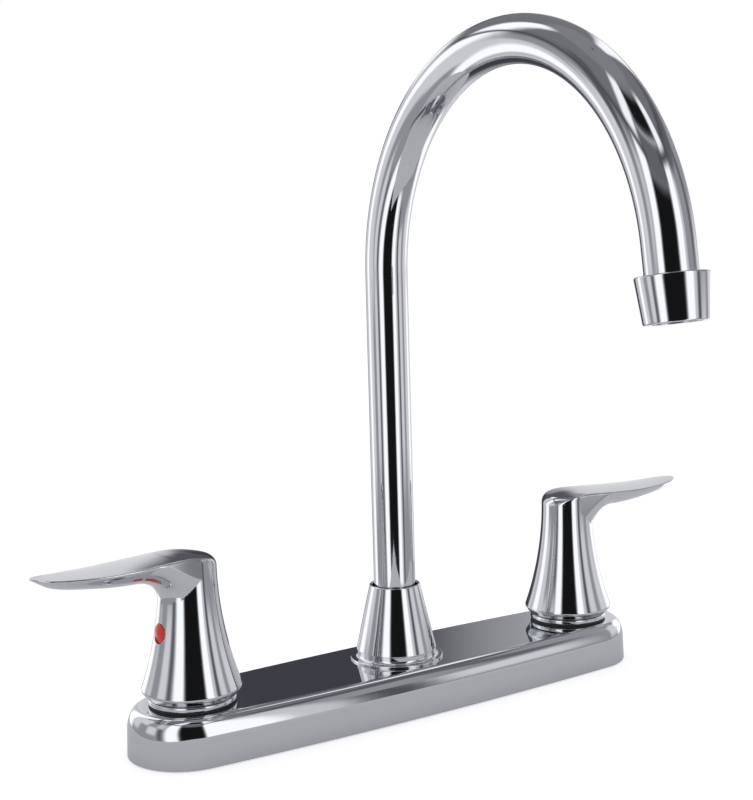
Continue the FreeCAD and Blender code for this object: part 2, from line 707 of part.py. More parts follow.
def make_aerator_housing():
    body = add_body("aerator_housing")
    turn(body, "housing", [
        ("fitting_radius + close_gap", "0"),
        ("aerator_top_radius - edge_break", "0"),
        ("aerator_top_radius", "edge_break"),
        ("aerator_bottom_radius", "aerator_length - edge_break"),
        ("aerator_bottom_radius - edge_break", "aerator_length"),
        ("lip_radius", "aerator_length"),
        ("lip_radius", LIP_TOP),
        ("insert_radius + close_gap", LIP_TOP),
        ("insert_radius + close_gap", INSERT_TOP),
        ("fitting_radius + close_gap", INSERT_TOP),
    ])
    return place_on_outlet(body)


def make_outlet_fitting():
    body = add_body("outlet_fitting")
    turn(body, "fitting", [
        ("spout_radius + close_gap", "fitting_top"),
        ("fitting_radius", "fitting_top"),
        ("fitting_radius", "fitting_bottom"),
        ("spout_radius - spout_wall", "fitting_bottom"),
        ("spout_radius - spout_wall", "spout_end_insert"),
        ("spout_radius + close_gap", "spout_end_insert"),
    ])
    return place_on_outlet(body)


def make_aerator_washer():
    body = add_body("aerator_washer")
    turn(body, "washer", [
        ("spout_radius - spout_wall - washer_lip", "fitting_bottom"),
        ("fitting_radius", "fitting_bottom"),
        ("fitting_radius", INSERT_TOP),
        ("spout_radius - spout_wall - washer_lip", INSERT_TOP),
    ])
    return place_on_outlet(body)


# Circles of holes in a disc: their share of its open radius, and how many holes each has.
INSERT_CIRCLES = ((0.38, 6), (0.74, 12))
SCREEN_CIRCLES = ((0.27, 6), (0.54, 12), (0.82, 18))


def drill_circles(body, circles, open_radius, radius):
    """Evenly spaced holes right through a disc."""
    for number, (share, copies) in enumerate(circles, start=1):

        def hole(sketch):
            add_circle(sketch, "%s * %s" % (open_radius, share), "0", radius)

        name = "holes_%d" % number
        drilled = cut_along(body, name, "XY_Plane", hole, FAR, reverse=True)
        repeat_round(body, drilled, name + "_ring", copies)


def make_aerator_insert():
    body = add_body("aerator_insert")
    turn(body, "disc", [
        ("0", INSERT_TOP),
        ("insert_radius", INSERT_TOP),
        ("insert_radius", SCREEN_TOP),
        ("0", SCREEN_TOP),
    ])
    drill_circles(body, INSERT_CIRCLES, "insert_radius", "insert_hole_radius")
    return place_on_outlet(body)


def make_aerator_screen():
    body = add_body("aerator_screen")
    turn(body, "disc", [
        ("0", SCREEN_TOP),
        ("insert_radius", SCREEN_TOP),
        ("insert_radius", LIP_TOP),
        ("0", LIP_TOP),
    ])
    drill_circles(body, SCREEN_CIRCLES, "lip_radius", "screen_hole_radius")
    return place_on_outlet(body)


# ---------------------------------------------------------------- handles

def lever_section(body, name, station, width, thickness):
    """Upright cut through the lever: an open top that is trimmed later, and a round belly."""
    sketch = add_sketch(body, name, "YZ_Plane", station)
    half = "%s / 2" % width
    belly = "((%s / 2) ^ 2 + %s ^ 2) / (2 * %s)" % (width, thickness, thickness)
    edge = lever_top(station)
    crest = "%s + %s" % (edge, CLEAR)
    add_loop(sketch, [
        (half, edge),
        (half, crest),
        ("0 - " + half, crest),
        ("0 - " + half, edge, belly, 1),
    ])
    return sketch


def dip_start():
    """Where the rounded heel runs into the dip, seen from the side."""
    across = "(crest_distance + heel_radius * sin(dip_slope))"
    up = "(crest_height - heel_radius * (1 - cos(dip_slope)))"
    return across, up


def lever_top(station):
    """Height of the top over a station of the dip."""
    across, up = dip_start()
    centre_across = "(%s + dip_radius * sin(dip_slope))" % across
    centre_up = "(%s + dip_radius * cos(dip_slope))" % up
    return "%s - sqrt(dip_radius ^ 2 - (%s - %s) ^ 2)" % (centre_up, station, centre_across)


def waist_arc_radius():
    """Radius of the hollow side, upright at the waist and through the crease."""
    fall = "(waist_height - skirt_crease)"
    spread = "(skirt_radius - waist_radius)"
    return "(%s ^ 2 + %s ^ 2) / (2 * %s)" % (fall, spread, spread)


def make_handle(side):
    body = add_body(side + "_handle")
    top = "crest_height + " + CLEAR
    turn(body, "column", [
        ("0", "skirt_bottom"),
        ("skirt_bottom_radius", "skirt_bottom"),
        ("skirt_radius", "skirt_crease", waist_arc_radius(), -1),
        ("waist_radius", "waist_height"),
        ("waist_radius", top),
        ("0", top),
    ], "YZ_Plane")
    sections = [
        lever_section(body, "lever_at_body", "0", "(2 * waist_radius - free_gap)",
                      "root_thickness"),
        lever_section(body, "lever_at_root", "lever_root", "lever_width",
                      "root_thickness"),
        lever_section(body, "lever_at_middle", "lever_middle", "middle_width",
                      "middle_thickness"),
        lever_section(body, "lever_at_end", "lever_end", "end_width", "end_thickness"),
        lever_section(body, "lever_at_tip", "lever_reach", "tip_width", "tip_thickness"),
    ]
    loft = add_feature(body, "AdditiveLoft", "lever", sections[0])
    loft.Sections = sections[1:]
    doc.recompute()

    def above_top(sketch):
        across, up = dip_start()
        heel = "(0 - waist_radius - %s)" % CLEAR
        fall = "(crest_distance - %s)" % heel
        heel_up = "(crest_height - heel_radius + sqrt(heel_radius ^ 2 - %s ^ 2))" % fall
        end = "(lever_reach + %s)" % CLEAR
        roof = "%s + %s" % (top, CLEAR)
        add_loop(sketch, [
            (heel, heel_up, "heel_radius", -1),
            (across, up, "dip_radius", 1),
            (end, lever_top(end)),
            (end, roof),
            (heel, roof),
        ])

    cut_along(body, "top_surface", "XZ_Plane", above_top, FAR, both=True)
    add_gusset(body)
    inner = "skirt_wall"
    turn_away(body, "skirt_hollow", [
        ("0", "skirt_bottom"),
        ("skirt_bottom_radius - " + inner, "skirt_bottom"),
        ("skirt_radius - " + inner, "skirt_crease"),
        (hollow_radius("(skirt_crease + socket_bottom) / 2"),
         "(skirt_crease + socket_bottom) / 2"),
        (hollow_radius("socket_bottom"), "socket_bottom"),
        ("0", "socket_bottom"),
    ], "YZ_Plane")
    turn_away(body, "stem_bore", [
        ("0", "socket_bottom"),
        ("spline_radius + close_gap", "socket_bottom"),
        ("spline_radius + close_gap", "stem_top + free_gap"),
        ("0", "stem_top + free_gap"),
    ], "YZ_Plane")

    def screw_hole(sketch):
        add_circle(sketch, "0", "index_height", "screw_radius + close_gap")

    cut_along(body, "screw_hole", "YZ_Plane", screw_hole, FAR, offset="spline_radius / 2",
              reverse=True)

    def button_hole(sketch):
        add_circle(sketch, "0", "index_height", "button_radius + close_gap")

    cut_along(body, "button_hole", "YZ_Plane", button_hole, FAR, offset="button_seat",
              reverse=True)
    place_on_side(body, side, HANDLE_TURN[side])
    return body


def hollow_radius(level):
    """Inside radius of the skirt at a height, one wall in from the hollow side."""
    arc = waist_arc_radius()
    fall = "(waist_height - %s)" % level
    return "waist_radius + %s - sqrt((%s) ^ 2 - %s ^ 2) - skirt_wall" % (arc, arc, fall)


def add_gusset(body):
    """Fillet along the edges where the belly of the lever meets the column."""
    base = body.Tip
    column = value("waist_radius")
    lowest = value("waist_height - root_thickness")
    highest = value("crest_height - root_thickness / 2")
    edges = []
    for number, edge in enumerate(base.Shape.Edges, start=1):
        box = edge.BoundBox
        middle = edge.valueAt((edge.FirstParameter + edge.LastParameter) / 2)
        on_column = abs(math.hypot(middle.x, middle.y) - column) < value("free_gap")
        if on_column and lowest < box.ZMin < highest and middle.x > 0:
            edges.append("Edge%d" % number)
    fillet = body.newObject("PartDesign::Fillet", "lever_gusset")
    fillet.Base = (base, edges)
    fillet.setExpression("Radius", bound("gusset_radius"))
    doc.recompute()
    return fillet


def hexagon_corners(radius):
    return [("%s * cos(%d)" % (radius, turned), "%s * sin(%d)" % (radius, turned))
            for turned in range(0, 360, 60)]


def make_index_button(side):
    body = add_body(side + "_index_button")
    dome = "button_dome_radius"
    edge = "(button_face - %s + sqrt(%s ^ 2 - button_radius ^ 2))" % (dome, dome)
    sketch = add_sketch(body, "button_profile", "XZ_Plane")
    add_loop(sketch, [
        ("button_seat", "0"),
        ("button_face", "0", dome, 1),
        (edge, "button_radius"),
        ("button_seat", "button_radius"),
    ])
    button = add_feature(body, "Revolution", "button", sketch)
    button.ReferenceAxis = (sketch, ["H_Axis"])
    button.Angle = FULL_TURN
    doc.recompute()
    place_on_side(body, side, HANDLE_TURN[side])
    body.setExpression(".Placement.Base.z", bound("index_height"))
    return body


def make_handle_screw(side):
    body = add_body(side + "_handle_screw")
    sketch = add_sketch(body, "screw_section", "YZ_Plane", "stem_flat")
    add_circle(sketch, "0", "0", "screw_radius")
    add_feature(body, "Pad", "screw", sketch, Length="screw_length")
    doc.recompute()

    def hexagon(sketch):
        add_loop(sketch, hexagon_corners("screw_socket_radius"))

    cut_along(body, "screw_socket", "YZ_Plane", hexagon, "screw_socket_depth",
              offset="stem_flat + screw_length")
    place_on_side(body, side, HANDLE_TURN[side])
    body.setExpression(".Placement.Base.z", bound("index_height"))
    return body


# ---------------------------------------------------------------- valves

def make_ring_seal(side):
    body = add_body(side + "_ring_seal")
    turn(body, "seal", [
        (PLATE_HOLE, "plate_height"),
        ("ring_seal_radius", "plate_height"),
        ("ring_seal_radius", "plate_height + ring_seal_thickness"),
        (PLATE_HOLE, "plate_height + ring_seal_thickness"),
    ])
    place_on_side(body, side, BODY_TURN[side])
    return body


def make_skirt_ring(side):
    body = add_body(side + "_skirt_ring")
    bottom = "plate_height + ring_seal_thickness"
    inner = "body_neck_radius + close_gap"
    turn(body, "ring", [
        (inner, bottom),
        ("ring_radius - edge_break", bottom),
        ("ring_radius", bottom + " + edge_break"),
        ("ring_radius", "ring_top - edge_ease"),
        ("ring_radius - edge_ease", "ring_top"),
        (inner, "ring_top"),
    ])
    place_on_side(body, side, BODY_TURN[side])
    return body


CARTRIDGE_BOTTOM = "seat_height + seat_lip"


def make_cartridge_body(side):
    body = add_body(side + "_cartridge_body")
    turn(body, "shell", [
        ("basket_bore_radius", CARTRIDGE_BOTTOM),
        ("basket_radius", CARTRIDGE_BOTTOM),
        ("basket_radius", "basket_top"),
        ("chamber_radius - close_gap", "basket_top"),
        ("chamber_radius - close_gap", "hexagon_bottom"),
        ("gland_radius", "hexagon_bottom"),
        ("gland_radius", "gland_top"),
        ("stem_radius + fit_gap", "gland_top"),
        ("stem_radius + fit_gap", "disc_room_top"),
        ("basket_bore_radius", "disc_room_top"),
    ])
    sketch = add_sketch(body, "hexagon_plan", "XY_Plane", "hexagon_bottom")
    add_loop(sketch, hexagon_corners("hexagon_flats / (2 * cos(30))"))
    add_circle(sketch, "0", "0", "gland_radius - close_gap")
    add_feature(body, "Pad", "hexagon", sketch, Length="hexagon_top - hexagon_bottom")
    doc.recompute()

    def window(sketch):
        roof = CARTRIDGE_BOTTOM + " + window_height"
        add_loop(sketch, [
            ("0 - window_width / 2", CARTRIDGE_BOTTOM),
            ("window_width / 2", CARTRIDGE_BOTTOM),
            ("window_width / 2", roof),
            ("0 - window_width / 2", roof),
        ])

    cut_along(body, "side_windows", "XZ_Plane", window, "4 * basket_radius", both=True)
    place_on_side(body, side, BODY_TURN[side])
    return body


def make_seat_seal(side):
    body = add_body(side + "_seat_seal")
    turn(body, "seal", [
        ("port_radius", "seat_height"),
        ("basket_bore_radius - close_gap", "seat_height"),
        ("basket_bore_radius - close_gap", "seat_height + seal_thickness"),
        ("port_radius", "seat_height + seal_thickness"),
    ])
    place_on_side(body, side, BODY_TURN[side])
    return body


HALF_OPENING = 38  # half the angle of an opening in a disc


def make_disc(side, label, radius, bottom, first_angle, turned):
    """Ceramic disc with two opposite quarter openings that stop short of its rim."""
    body = add_body(side + "_" + label)
    turn(body, "disc", [
        ("0", bottom),
        (radius, bottom),
        (radius, bottom + " + disc_thickness"),
        ("0", bottom + " + disc_thickness"),
    ])
    inner = "(port_radius / 4)"
    outer = "(port_radius - fit_gap)"

    def openings(sketch):
        for quarter in (first_angle, first_angle + 180):
            low = quarter - HALF_OPENING
            high = quarter + HALF_OPENING
            add_loop(sketch, [
                ("%s * cos(%d)" % (inner, low), "%s * sin(%d)" % (inner, low)),
                ("%s * cos(%d)" % (outer, low), "%s * sin(%d)" % (outer, low), outer, 1),
                ("%s * cos(%d)" % (outer, high), "%s * sin(%d)" % (outer, high)),
                ("%s * cos(%d)" % (inner, high), "%s * sin(%d)" % (inner, high), inner, -1),
            ])

    cut_along(body, "openings", "XY_Plane", openings, FAR, reverse=True)
    place_on_side(body, side, turned)
    return body


FIXED_DISC_BOTTOM = "seat_height + seal_thickness"
MOVING_DISC_BOTTOM = FIXED_DISC_BOTTOM + " + disc_thickness + disc_film"
STEM_BOTTOM = MOVING_DISC_BOTTOM + " + disc_thickness"
STEM_CLIP_BOTTOM = "gland_top + free_gap"


def make_stem(side):
    body = add_body(side + "_stem")
    seal_bed = "stem_radius + fit_gap - 2 * stem_seal_section - close_gap"
    low = "stem_seal_height - stem_seal_section - fit_gap"
    high = "stem_seal_height + stem_seal_section + fit_gap"
    turn(body, "stem", [
        ("0", STEM_BOTTOM),
        ("stem_foot_radius", STEM_BOTTOM),
        ("stem_foot_radius", "disc_room_top - free_gap"),
        ("stem_radius", "disc_room_top - free_gap"),
        ("stem_radius", low),
        (seal_bed, low),
        (seal_bed, high),
        ("stem_radius", high),
        ("stem_radius", STEM_CLIP_BOTTOM),
        ("stem_groove_radius", STEM_CLIP_BOTTOM),
        ("stem_groove_radius", STEM_CLIP_BOTTOM + " + stem_clip_thickness + close_gap"),
        ("spline_radius", STEM_CLIP_BOTTOM + " + stem_clip_thickness + edge_ease"),
        ("spline_radius", "stem_top - edge_ease"),
        ("spline_radius - edge_ease", "stem_top"),
        ("0", "stem_top"),
    ])

    def flat(sketch):
        bottom = "index_height - stem_flat_below"
        top = "stem_top + " + CLEAR
        add_loop(sketch, [
            ("stem_flat", bottom),
            ("spline_radius * 2", bottom),
            ("spline_radius * 2", top),
            ("stem_flat", top),
        ])

    cut_along(body, "screw_flat", "XZ_Plane", flat, FAR, both=True)
    place_on_side(body, side, HANDLE_TURN[side])
    return body


def make_stem_seal(side):
    centre = "stem_radius + fit_gap - stem_seal_section - close_gap / 2"
    seal = make_ring_seals(side + "_stem_seal", centre, "stem_seal_section",
                           ["stem_seal_height"])
    seal.setExpression(".Placement.Base.x",
                       bound("%d * handle_spacing / 2" % SIDE_SIGN[side]))
    return seal


def make_stem_clip(side):
    body = add_body(side + "_stem_clip")
    open_ring(body, "stem_groove_radius + close_gap", "stem_clip_radius", STEM_CLIP_BOTTOM,
              "stem_clip_thickness", "clip_opening")
    place_on_side(body, side, HANDLE_TURN[side])
    return body


# ---------------------------------------------------------------- the whole faucet

def make_all():
    pieces = [make_deck_plate(), make_base_gasket(), make_spout_hub()]
    for side in SIDE_SIGN:
        pieces.append(make_valve_body(side))
        pieces.append(make_crossover_tube(side))
        pieces.append(make_ring_seal(side))
        pieces.append(make_skirt_ring(side))
        pieces.append(make_cartridge_body(side))
        pieces.append(make_seat_seal(side))
        pieces.append(make_disc(side, "fixed_disc", "basket_bore_radius - close_gap",
                                FIXED_DISC_BOTTOM, 90, BODY_TURN[side]))
        pieces.append(make_disc(side, "moving_disc", "stem_foot_radius",
                                MOVING_DISC_BOTTOM, 0, HANDLE_TURN[side]))
        pieces.append(make_stem(side))
        pieces.append(make_stem_seal(side))
        pieces.append(make_stem_clip(side))
        pieces.append(make_handle(side))
        pieces.append(make_handle_screw(side))
        pieces.append(make_index_button(side))
    seal_centre = "swivel_bore_radius - spout_seal_section - fit_gap / 2"
    pieces += [
        make_spout_tube(),
        make_spout_sleeve(),
        make_ring_seals("spout_seals", seal_centre, "spout_seal_section",
                        ["spout_seal_low", "spout_seal_high"]),
        make_retaining_clip(),
        make_collar(),
        make_outlet_fitting(),
        make_aerator_housing(),
        make_aerator_washer(),
        make_aerator_insert(),
        make_aerator_screen(),
    ]
    doc.recompute()
    return pieces


def check_and_write(pieces):
    for item in doc.Objects:
        if "Invalid" in item.State or "Error" in item.State:
            raise RuntimeError("%s did not build: %s" % (item.Label, item.State))
    for piece in pieces:
        if piece.Shape.isNull() or not piece.Shape.isValid() or not piece.Shape.Solids:
            raise RuntimeError("%s has no sound shape" % piece.Label)
    os.makedirs("parts", exist_ok=True)
    for piece in pieces:
        piece.Shape.exportStep("parts/%s.step" % piece.Label)
        print("%-22s %d solid %9.1f mm3" % (piece.Label, len(piece.Shape.Solids),
                                            piece.Shape.Volume))


check_and_write(make_all())
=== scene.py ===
import math
from types import SimpleNamespace

import bmesh
import bpy
import numpy as np
from bpy.props import FloatProperty, FloatVectorProperty, PointerProperty
from mathutils import Matrix, Vector, geometry


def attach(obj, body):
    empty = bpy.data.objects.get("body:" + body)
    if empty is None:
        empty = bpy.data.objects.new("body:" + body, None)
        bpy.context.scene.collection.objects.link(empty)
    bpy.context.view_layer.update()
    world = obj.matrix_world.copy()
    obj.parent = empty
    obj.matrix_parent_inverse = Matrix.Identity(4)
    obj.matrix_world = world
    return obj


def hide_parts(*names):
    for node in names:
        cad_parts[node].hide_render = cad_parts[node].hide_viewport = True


# Two handle kitchen faucet in polished chrome plate: the visible skins of the deck plate,
# the handles, the collar, the spout and the aerator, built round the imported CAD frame.
# The meshes are worked out in millimetres and turned to metres as each piece is made.

bl_info = {
    "name": "Two Handle Kitchen Faucet",
    "version": (1, 0, 0),
    "blender": (4, 5, 0),
    "location": "View3D > Sidebar > Faucet",
    "description": "Dresses a two handle kitchen faucet with its plated and moulded pieces",
    "category": "Add Mesh",
}

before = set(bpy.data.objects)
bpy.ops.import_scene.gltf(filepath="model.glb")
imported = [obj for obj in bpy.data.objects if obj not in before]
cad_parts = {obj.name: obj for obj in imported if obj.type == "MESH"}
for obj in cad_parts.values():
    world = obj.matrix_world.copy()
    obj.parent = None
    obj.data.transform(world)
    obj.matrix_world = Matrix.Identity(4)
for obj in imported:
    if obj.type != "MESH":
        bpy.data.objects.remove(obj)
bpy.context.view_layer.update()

MM = 0.001
FULL_TURN = 2 * math.pi
SIDES = {"hot": -1, "cold": 1}


# ---------------------------------------------------------------- sizes and colours

def length(name, number, note):
    """A length property, given in millimetres and kept in metres."""
    return FloatProperty(name=name, description=note, default=number * MM, min=0.0,
                         unit="LENGTH", subtype="DISTANCE", precision=4)


def angle(name, number, note):
    return FloatProperty(name=name, description=note, default=math.radians(number),
                         subtype="ANGLE", unit="ROTATION")


def colour(name, code, note):
    return FloatVectorProperty(name=name, description=note, default=linear(code), size=4,
                               min=0.0, max=1.0, subtype="COLOR")


def linear(code):
    """Linear colour of an sRGB hex value."""
    made = []
    for start in (1, 3, 5):
        part = int(code[start:start + 2], 16) / 255
        made.append(part / 12.92 if part <= 0.04045 else ((part + 0.055) / 1.055) ** 2.4)
    return (*made, 1.0)


class PlateSizes(bpy.types.PropertyGroup):
    half_length: length("Half length", 129.2, "From the spout axis to the end of the plate")
    half_width: length("Half width", 28.3, "From the centre line to the bowed long side")
    end_radius: length("End radius", 25.0, "Plan radius of each end")
    height: length("Height", 20.0, "Underside to top")
    draft: length("Draft", 0.3, "How far the sides lean in by the foot of the rolled edge")
    edge_run: length("Edge run", 5.5, "How far the rolled top edge reaches inwards")
    edge_drop: length("Edge drop", 9.5, "How far the rolled top edge reaches down the side")
    wall: length("Wall", 2.0, "Thickness of the plate")
    handle_hole: length("Handle hole", 14.4, "Radius of the hole under each handle")
    spout_hole: length("Spout hole", 13.9, "Radius of the hole under the spout")
    handle_distance: length("Handle distance", 101.6, "From the spout axis to a handle axis")


class SpoutSizes(bpy.types.PropertyGroup):
    radius: length("Tube radius", 9.25, "Outside radius of the spout tube")
    wall: length("Tube wall", 1.2, "Wall of the spout tube")
    bottom: length("Lower end", 28.0, "Height of the lower end inside the collar")
    rise: length("Rise", 191.3, "Height at which the bend starts")
    bend_radius: length("Bend radius", 90.0, "Centre line radius of the bend")
    bend_angle: angle("Bend angle", 172.0, "How far the tube turns over")
    end_straight: length("End straight", 10.4, "Straight stretch above the aerator")
    end_insert: length("End insert", 6.0, "Stretch of tube inside the aerator")
    rest_turn: angle("Rest turn", 2.1, "How far the spout stands towards the hot side")


class CollarSizes(bpy.types.PropertyGroup):
    flange_radius: length("Flange radius", 20.8, "Widest part of the collar")
    flange_height: length("Flange height", 0.95, "Thickness of the flange at its rim")
    cone_radius: length("Cone radius", 17.9, "Foot of the cone")
    cone_bottom: length("Cone foot", 4.45, "Foot of the cone above the plate")
    cove: length("Cove", 2.7, "Hollow rounding between the flange and the cone")
    flange_edge: length("Flange edge", 0.4, "Rounding of the flange's upper edge")
    rim_edge: length("Rim edge", 0.5, "Rounding of the top rim's outer edge")
    mouth_edge: length("Mouth edge", 0.4, "Rounding of the top rim's inner edge")
    top: length("Top", 53.3, "Height of the top rim")
    top_radius: length("Rim radius", 11.2, "Outside radius of the top rim")
    mouth_radius: length("Mouth radius", 10.1, "Open mouth round the tube")
    bore_radius: length("Bore radius", 13.55, "Bore over the threaded neck")
    wall: length("Wall", 1.6, "Thickness of the cone")
    mouth_depth: length("Mouth depth", 5.0, "Straight stretch of the mouth")
    thread_top: length("Thread top", 26.5, "Height of the end of the inner thread")


class AeratorSizes(bpy.types.PropertyGroup):
    top_radius: length("Upper radius", 12.7, "Upper rim of the aerator")
    bottom_radius: length("Lower radius", 11.2, "Lower rim of the aerator")
    height: length("Height", 16.2, "Rim to rim")
    bore_radius: length("Bore radius", 10.85, "Bore over the threaded fitting")
    insert_radius: length("Insert bore", 9.65, "Bore round the flow insert")
    ledge: length("Ledge", 9.4, "From the upper rim to the flow insert")
    lip_depth: length("Lip depth", 14.4, "From the upper rim to the outlet lip")
    lip_radius: length("Lip radius", 8.8, "Inside of the lip that holds the screen")
    bore_edge: length("Bore edge", 0.2, "Rounding at the mouth of the bore")
    upper_edge: length("Upper edge", 0.5, "Rounding of the upper rim")
    lower_edge: length("Lower edge", 0.6, "Rounding of the lower rim")
    lip_edge: length("Lip edge", 0.4, "Rounding of the outlet lip")


class HandleSizes(bpy.types.PropertyGroup):
    shut_turn: angle("Shut turn", 3.4, "How far a shut lever stands towards the front")
    skirt_bottom: length("Skirt bottom", 23.4, "Lower edge of the handle")
    skirt_bottom_radius: length("Skirt edge radius", 18.6, "Radius of the lower edge")
    crease_height: length("Crease height", 26.5, "Height of the crease round the skirt")
    skirt_radius: length("Skirt radius", 20.9, "Widest part, at the crease")
    waist_height: length("Waist height", 78.0, "Height at which the body is narrowest")
    waist_radius: length("Waist radius", 11.9, "Narrowest part of the body")
    skirt_wall: length("Skirt wall", 2.0, "Wall of the hollow skirt")
    socket_bottom: length("Socket bottom", 44.0, "Underside of the solid core")
    bore_radius: length("Stem bore", 4.05, "Bore for the stem")
    bore_top: length("Stem bore top", 60.3, "Top of the bore for the stem")
    reach: length("Lever reach", 68.0, "From the axis to the tip of the lever")
    tip_start: length("Tip start", 60.0, "From the axis to where the tip rounds off")
    crown: length("Lever crown", 1.2, "How far the top is crowned across")
    heel_flat: length("Heel flat", 7.0, "Radius inside which the top of the heel is level")
    gusset: length("Gusset", 13.0, "Reach of the gusset along the lever")
    gusset_drop: length("Gusset drop", 11.0, "Reach of the gusset down the body")
    gusset_shoulder: length("Gusset shoulder", 10.5,
                            "From the edge of the lever down to where the gusset draws in")
    gusset_corner: length("Gusset corner", 2.5, "Softness of the gusset's lower corners")
    gusset_draft: angle("Gusset draft", 8.5, "Slope of the sides of the gusset")
    root_blend: length("Root blend", 0.9, "Softness of the seam between lever and body")
    edge: length("Edge rounding", 0.7, "Softness of the polished edges")
    button_height: length("Button height", 51.0, "Height of the index button")
    button_radius: length("Button radius", 4.0, "Radius of the index button")
    button_seat: length("Button seat", 11.7, "Inner face of the button, from the axis")
    button_face: length("Button face", 14.6, "Outer face of the button, from the axis")
    button_dome: length("Button dome", 14.0, "Radius of the button's domed face")
    button_edge: length("Button edge", 0.3, "Rounding round the button's face")
    screw_hole: length("Screw hole", 2.55, "Radius of the hole for the set screw")
    ring_radius: length("Ring radius", 18.3, "Trim ring under the handle")
    ring_bottom: length("Ring bottom", 21.0, "Lower face of the trim ring")
    ring_top: length("Ring top", 23.1, "Upper face of the trim ring")
    ring_bore: length("Ring bore", 14.05, "Bore of the trim ring")
    ring_lower_edge: length("Ring lower edge", 0.6, "Rounding under the trim ring")
    ring_upper_edge: length("Ring upper edge", 0.8, "Rounding on top of the trim ring")
    seal_radius: length("Seal radius", 18.0, "Black seal between the ring and the plate")
    seal_edge: length("Seal edge", 0.2, "Rounding of the black seal")


class FinishColours(bpy.types.PropertyGroup):
    chrome: colour("Chrome", "#D3D5D8", "Bright decorative chrome plate")
    brass: colour("Brass", "#C39A55", "Machined and cast brass")
    copper: colour("Copper", "#C8805A", "Drawn copper tube")
    steel: colour("Steel", "#B4B6B8", "Stainless steel")
    rubber: colour("Rubber", "#242425", "Black rubber seals")
    ceramic: colour("Ceramic", "#EFEDE4", "Lapped alumina discs")
    white_plastic: colour("White plastic", "#E4E3DE", "Moulded acetal")
    red: colour("Red", "#C3281B", "Hot index button")
    blue: colour("Blue", "#1D4FA6", "Cold index button")


GROUPS = {
    "faucet_plate": PlateSizes,
    "faucet_spout": SpoutSizes,
    "faucet_collar": CollarSizes,
    "faucet_aerator": AeratorSizes,
    "faucet_handle": HandleSizes,
    "faucet_colours": FinishColours,
}


def in_millimetres(name):
    """The lengths of a group in millimetres, and its angles as they are."""
    group = getattr(bpy.context.scene, name)
    found = {}
    for key in GROUPS[name].__annotations__:
        is_angle = group.bl_rna.properties[key].subtype == "ANGLE"
        found[key] = getattr(group, key) / (1 if is_angle else MM)
    return SimpleNamespace(**found)


# ---------------------------------------------------------------- meshes

class Skin:
    """Points and faces of one piece, in millimetres, collected ring by ring."""

    def __init__(self):
        self.points = []
        self.faces = []

    def ring(self, points):
        """Adds points and gives their numbers."""
        start = len(self.points)
        self.points.extend(tuple(point) for point in points)
        return list(range(start, len(self.points)))

    def bridge(self, first, second):
        """Quads between two closed rings of as many points."""
        count = len(first)
        for place in range(count):
            after = (place + 1) % count
            self.faces.append((first[place], first[after], second[after], second[place]))

    def bridge_all(self, rings):
        for first, second in zip(rings, rings[1:]):
            self.bridge(first, second)

    def fan(self, ring, point):
        """Closes a ring to one point."""
        centre = self.ring([point])[0]
        count = len(ring)
        for place in range(count):
            self.faces.append((ring[place], ring[(place + 1) % count], centre))


# Corner radius of an edge that is only just taken off.
EASED = 0.1


def rounded(corners):
    """A closed outline with each (across, up, radius) corner rounded off. A point just past
    each end of a rounding keeps the shading of the straight stretch beside it flat."""
    step = math.radians(7.5)
    most_of_side, past_end, past_most = 0.48, 0.35, 0.05
    count = len(corners)
    made = []
    for place, (across, up, radius) in enumerate(corners):
        here = Vector((across, up))
        before = Vector(corners[place - 1][:2]) - here
        after = Vector(corners[(place + 1) % count][:2]) - here
        if radius <= 0:
            made.append(here)
            continue
        half = before.angle(after) / 2
        reach = radius / math.tan(half)
        share = min(1.0, most_of_side * min(before.length, after.length) / reach)
        radius, reach = radius * share, reach * share
        start = here + before.normalized() * reach
        end = here + after.normalized() * reach
        centre = here + (before.normalized() + after.normalized()).normalized() * (
            radius / math.sin(half))
        spread = math.pi - 2 * half
        pieces = max(3, math.ceil(spread / step))
        made.append(start + before.normalized() * min(past_end * radius,
                                                      past_most * before.length))
        for number in range(pieces + 1):
            way = (start - centre).slerp(end - centre, number / pieces, None)
            made.append(centre + way.normalized() * radius)
        made.append(end + after.normalized() * min(past_end * radius,
                                                   past_most * after.length))
    return [tuple(point) for point in made]


def turned(outline, around, place=Matrix.Identity(4)):
    """Skin of a shape turned round Z from a closed (radius, height) outline. Where the
    outline touches the axis it closes in a pole."""
    skin = Skin()
    rings = []
    on_axis = 1e-6
    for radius, height in outline:
        if radius < on_axis:
            rings.append(height)
            continue
        rings.append(skin.ring(
            (radius * math.cos(turn), radius * math.sin(turn), height)
            for turn in (FULL_TURN * number / around for number in range(around))))
    for first, second in zip(rings, rings[1:] + rings[:1]):
        if isinstance(first, list) and isinstance(second, list):
            skin.bridge(first, second)
        elif isinstance(first, list):
            skin.fan(first, (0, 0, second))
        elif isinstance(second, list):
            skin.fan(second, (0, 0, first))
    skin.points = [tuple(place @ Vector(point)) for point in skin.points]
    return skin


def add_object(name, contents):
    """An object in the scene that holds a mesh or a camera."""
    made = bpy.data.objects.new(name, contents)
    bpy.context.scene.collection.objects.link(made)
    return made


